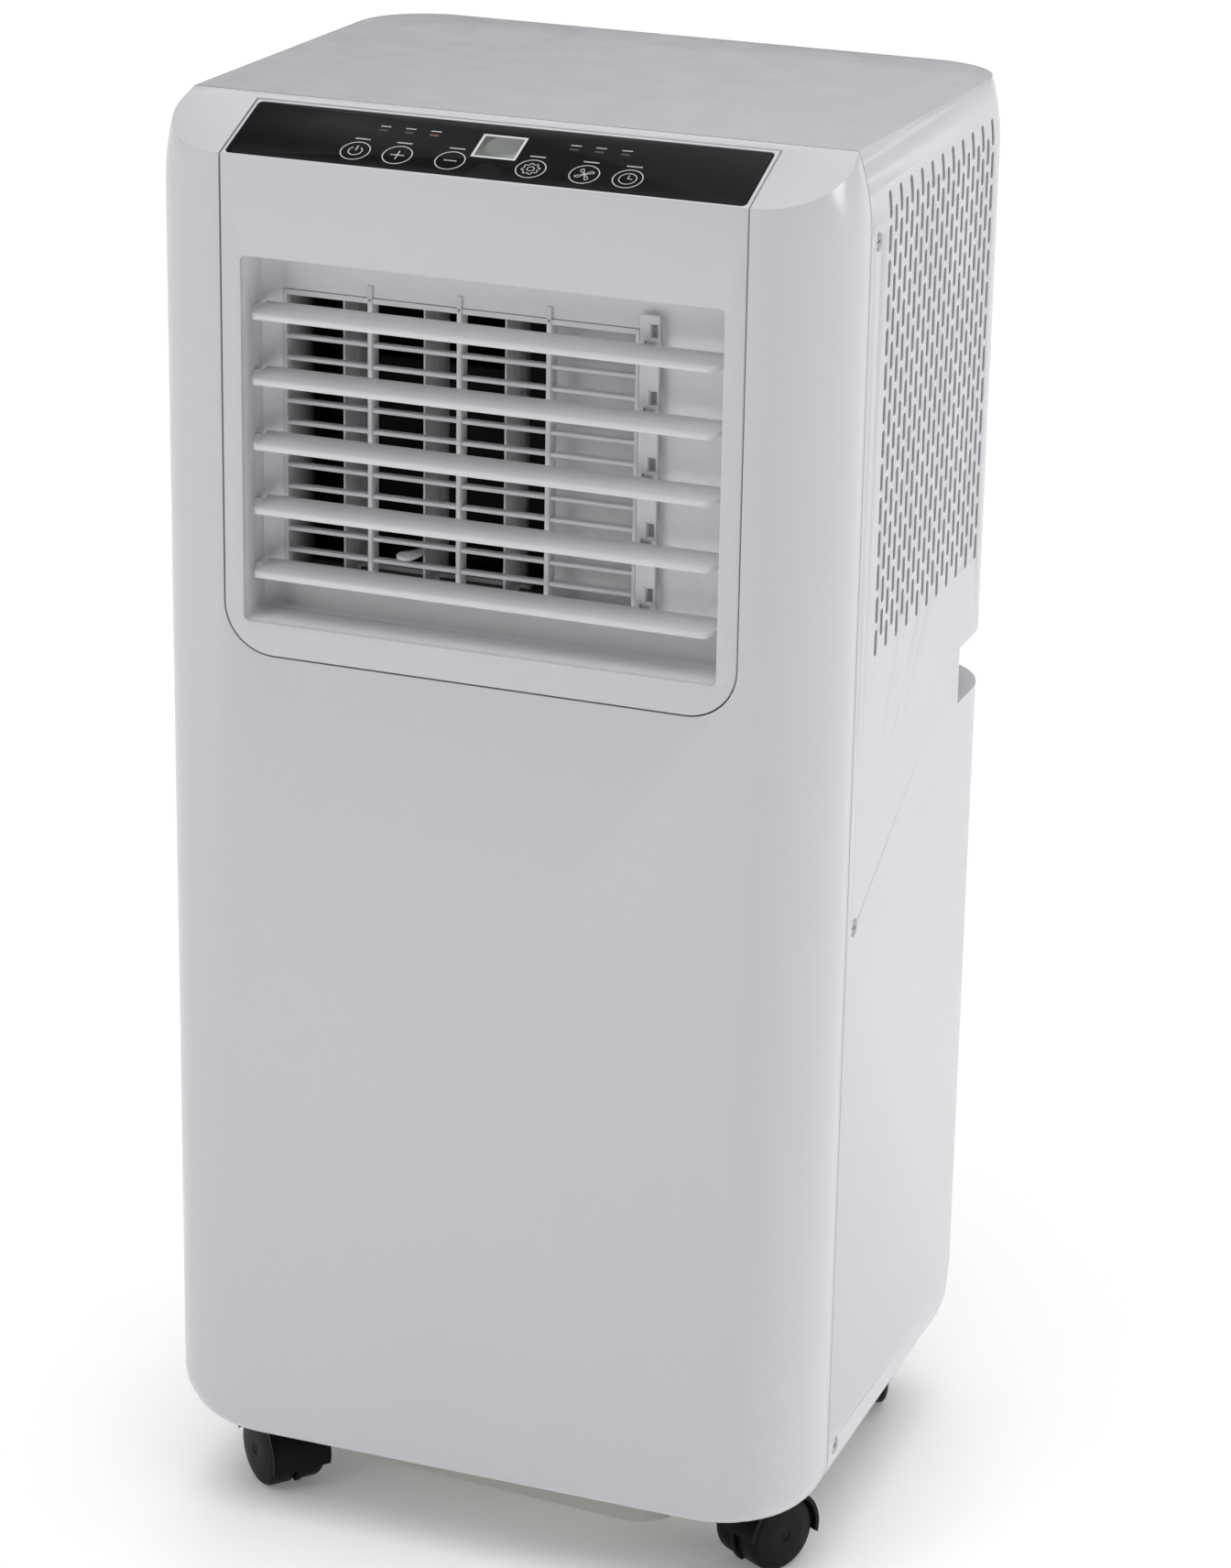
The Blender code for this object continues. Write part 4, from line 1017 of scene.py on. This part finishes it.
def caster(name, x, y, turn):
    """A hood with its stem, and two domed wheels on one axle."""
    at = (x, y, 0)
    hood = raw(f"caster_shell_{name}", prism(hood_arch(), -HOOD_HALF, HOOD_HALF, X), at, turn)
    shapes = [
        rod((TRAIL, WHEEL), WHEEL + 1.5, -1.3, 1.3, X, 48),
        rod((0, 0), 5.7, 37.6, 40.0, Z, 24),
        rod((0, 0), 8.0, 39.0, BELLY - 1.0, Z, 32),
        rod((0, 0), 4.0, 35.0, 58.0, Z, 24),
    ]
    plus(hood, *shapes, at=at, turn=turn)
    mouth = box((-8, TRAIL - 30, -5), (8, TRAIL + 30, 5))
    less(hood, mouth, rod((TRAIL, WHEEL), 3.9, -30, 30, X, 24), at=at, turn=turn)
    soften(hood, 0.6, angle=40, segments=3)
    finish(hood, CASTER, f"caster_swivel_{name}", f"caster_hood_{name}", slot="caster_black")
    side = wheel_profile()
    profile = [(r, -a) for r, a in side] + [(r, a) for r, a in reversed(side)]
    offset = Matrix.Rotation(math.radians(turn), 3, "Z") @ Vector((0, TRAIL, 0))
    wheel_at = (x + offset.x, y + offset.y, WHEEL)
    wheels = raw(f"caster_rims_{name}", turned(profile, (0, 0), X, 64), wheel_at, turn)
    finish(wheels, CASTER, f"caster_roll_{name}", f"caster_wheels_{name}", slot="caster_black")


# ---------------------------------------------------------------- nodes kept from the frame


KEPT = {
    "base_pan": PAN, "outlet_duct": DUCT_LINER_SHADED, "upper_scroll": FOAM,
    "lower_scroll": INNER_WHITE, "exhaust_duct": INNER_WHITE, "exhaust_collar": WHITE,
    "upper_filter_frame": WHITE, "lower_filter_frame": WHITE, "drain_plug_upper": WHITE,
    "drain_plug_lower": WHITE, "cord_gland": CASTER, "deck_plate": STEEL, "upper_motor": STEEL,
    "lower_motor": STEEL, "control_box": STEEL, "evaporator_coil": FINS, "condenser_coil": FINS,
    "fan_capacitor": ALUMINIUM, "discharge_pipe": COPPER, "suction_pipe": COPPER,
    "capillary_tube": COPPER, "compressor": ENAMEL, "accumulator": ENAMEL, "upper_blower": FAN,
    "lower_blower": FAN, "upper_filter_mesh": NET, "lower_filter_mesh": NET,
    "control_board": BOARD, "vane_link": LOUVRE_WHITE_LIT,
}  # fmt: skip
EDGED = ("base_pan", "upper_filter_frame", "lower_filter_frame", "exhaust_collar", "cord_gland")


def keep():
    """Materials for the nodes shown as they are, with the moulded ones' edges eased."""
    for name, look in KEPT.items():
        node = NODES[name]
        node.data.materials.clear()
        node.data.materials.append(look)
        if name in EDGED:
            edges = node.modifiers.new("edges", "BEVEL")
            edges.width = 0.4 * MM
            edges.segments = 2
            edges.limit_method = "ANGLE"
            edges.angle_limit = math.radians(50)


# ---------------------------------------------------------------- studio


def stand(name, lamp, place, aim):
    """Puts a lamp in its place, pointing along a direction."""
    obj = bpy.data.objects.new(name, lamp)
    obj.location = place
    obj.rotation_euler = Vector(aim).to_track_quat("-Z", "Y").to_euler()
    bpy.context.scene.collection.objects.link(obj)


def pale_floor():
    """A wide pale floor with a faint glow of its own."""
    g = Graph("floor_pale")
    g.colour(g.blend(g.noise(2.0), (0.94, 0.94, 0.94), (0.96, 0.96, 0.96)))
    g.set(Roughness=0.9, Emission_Color=(1.0, 1.0, 1.0, 1.0), Emission_Strength=FLOOR_GLOW)
    g.material.cycles.emission_sampling = "NONE"
    floor = raw("floor", box((-15000, -15000, -20), (15000, 15000, 0.0)))
    floor.data.materials.append(g.material)


def lights():
    """An even sky, four broad lights and one box in front of the left corner."""
    world = bpy.data.worlds.new("studio")
    world.use_nodes = True
    sky = world.node_tree.nodes["Background"]
    sky.inputs["Color"].default_value = (0.98, 0.985, 1.0, 1.0)
    sky.inputs["Strength"].default_value = WORLD_LIGHT
    bpy.context.scene.world = world
    for name, strength, spread, side, height in SUNS:
        lamp = bpy.data.lights.new(name, "SUN")
        lamp.energy = strength
        lamp.angle = math.radians(spread)
        around, up = math.radians(side), math.radians(height)
        aim = (-math.sin(around) * math.cos(up), math.cos(around) * math.cos(up), -math.sin(up))
        stand(name, lamp, (0, 0, 0), aim)
    lamp = bpy.data.lights.new("front_left_box", "AREA")
    lamp.energy = 6.2
    lamp.size = 0.9
    stand("front_left_box", lamp, BOX_PLACE, BOX_AIM - BOX_PLACE)


def camera():
    data = bpy.data.cameras.new("camera")
    data.lens = 107.49
    data.sensor_width = 36.0
    data.shift_x = 0.00475
    data.shift_y = -0.0254
    data.clip_end = 100.0
    obj = bpy.data.objects.new("camera", data)
    turn = Matrix((CAMERA_RIGHT, -CAMERA_DOWN, -CAMERA_AHEAD)).transposed()
    obj.matrix_world = Matrix.Translation(CAMERA_PLACE) @ turn.to_4x4()
    bpy.context.scene.collection.objects.link(obj)
    bpy.context.scene.camera = obj
    bpy.context.scene.view_settings.view_transform = "Standard"


front_shell()
rear_shell()
outlet_panel()
outlet_grille()
louvres()
louvre_link()
vanes()
control_strip()
symbols()
lamps()
sensor_dots()
screws()
casters()
keep()
pale_floor()
lights()
camera()
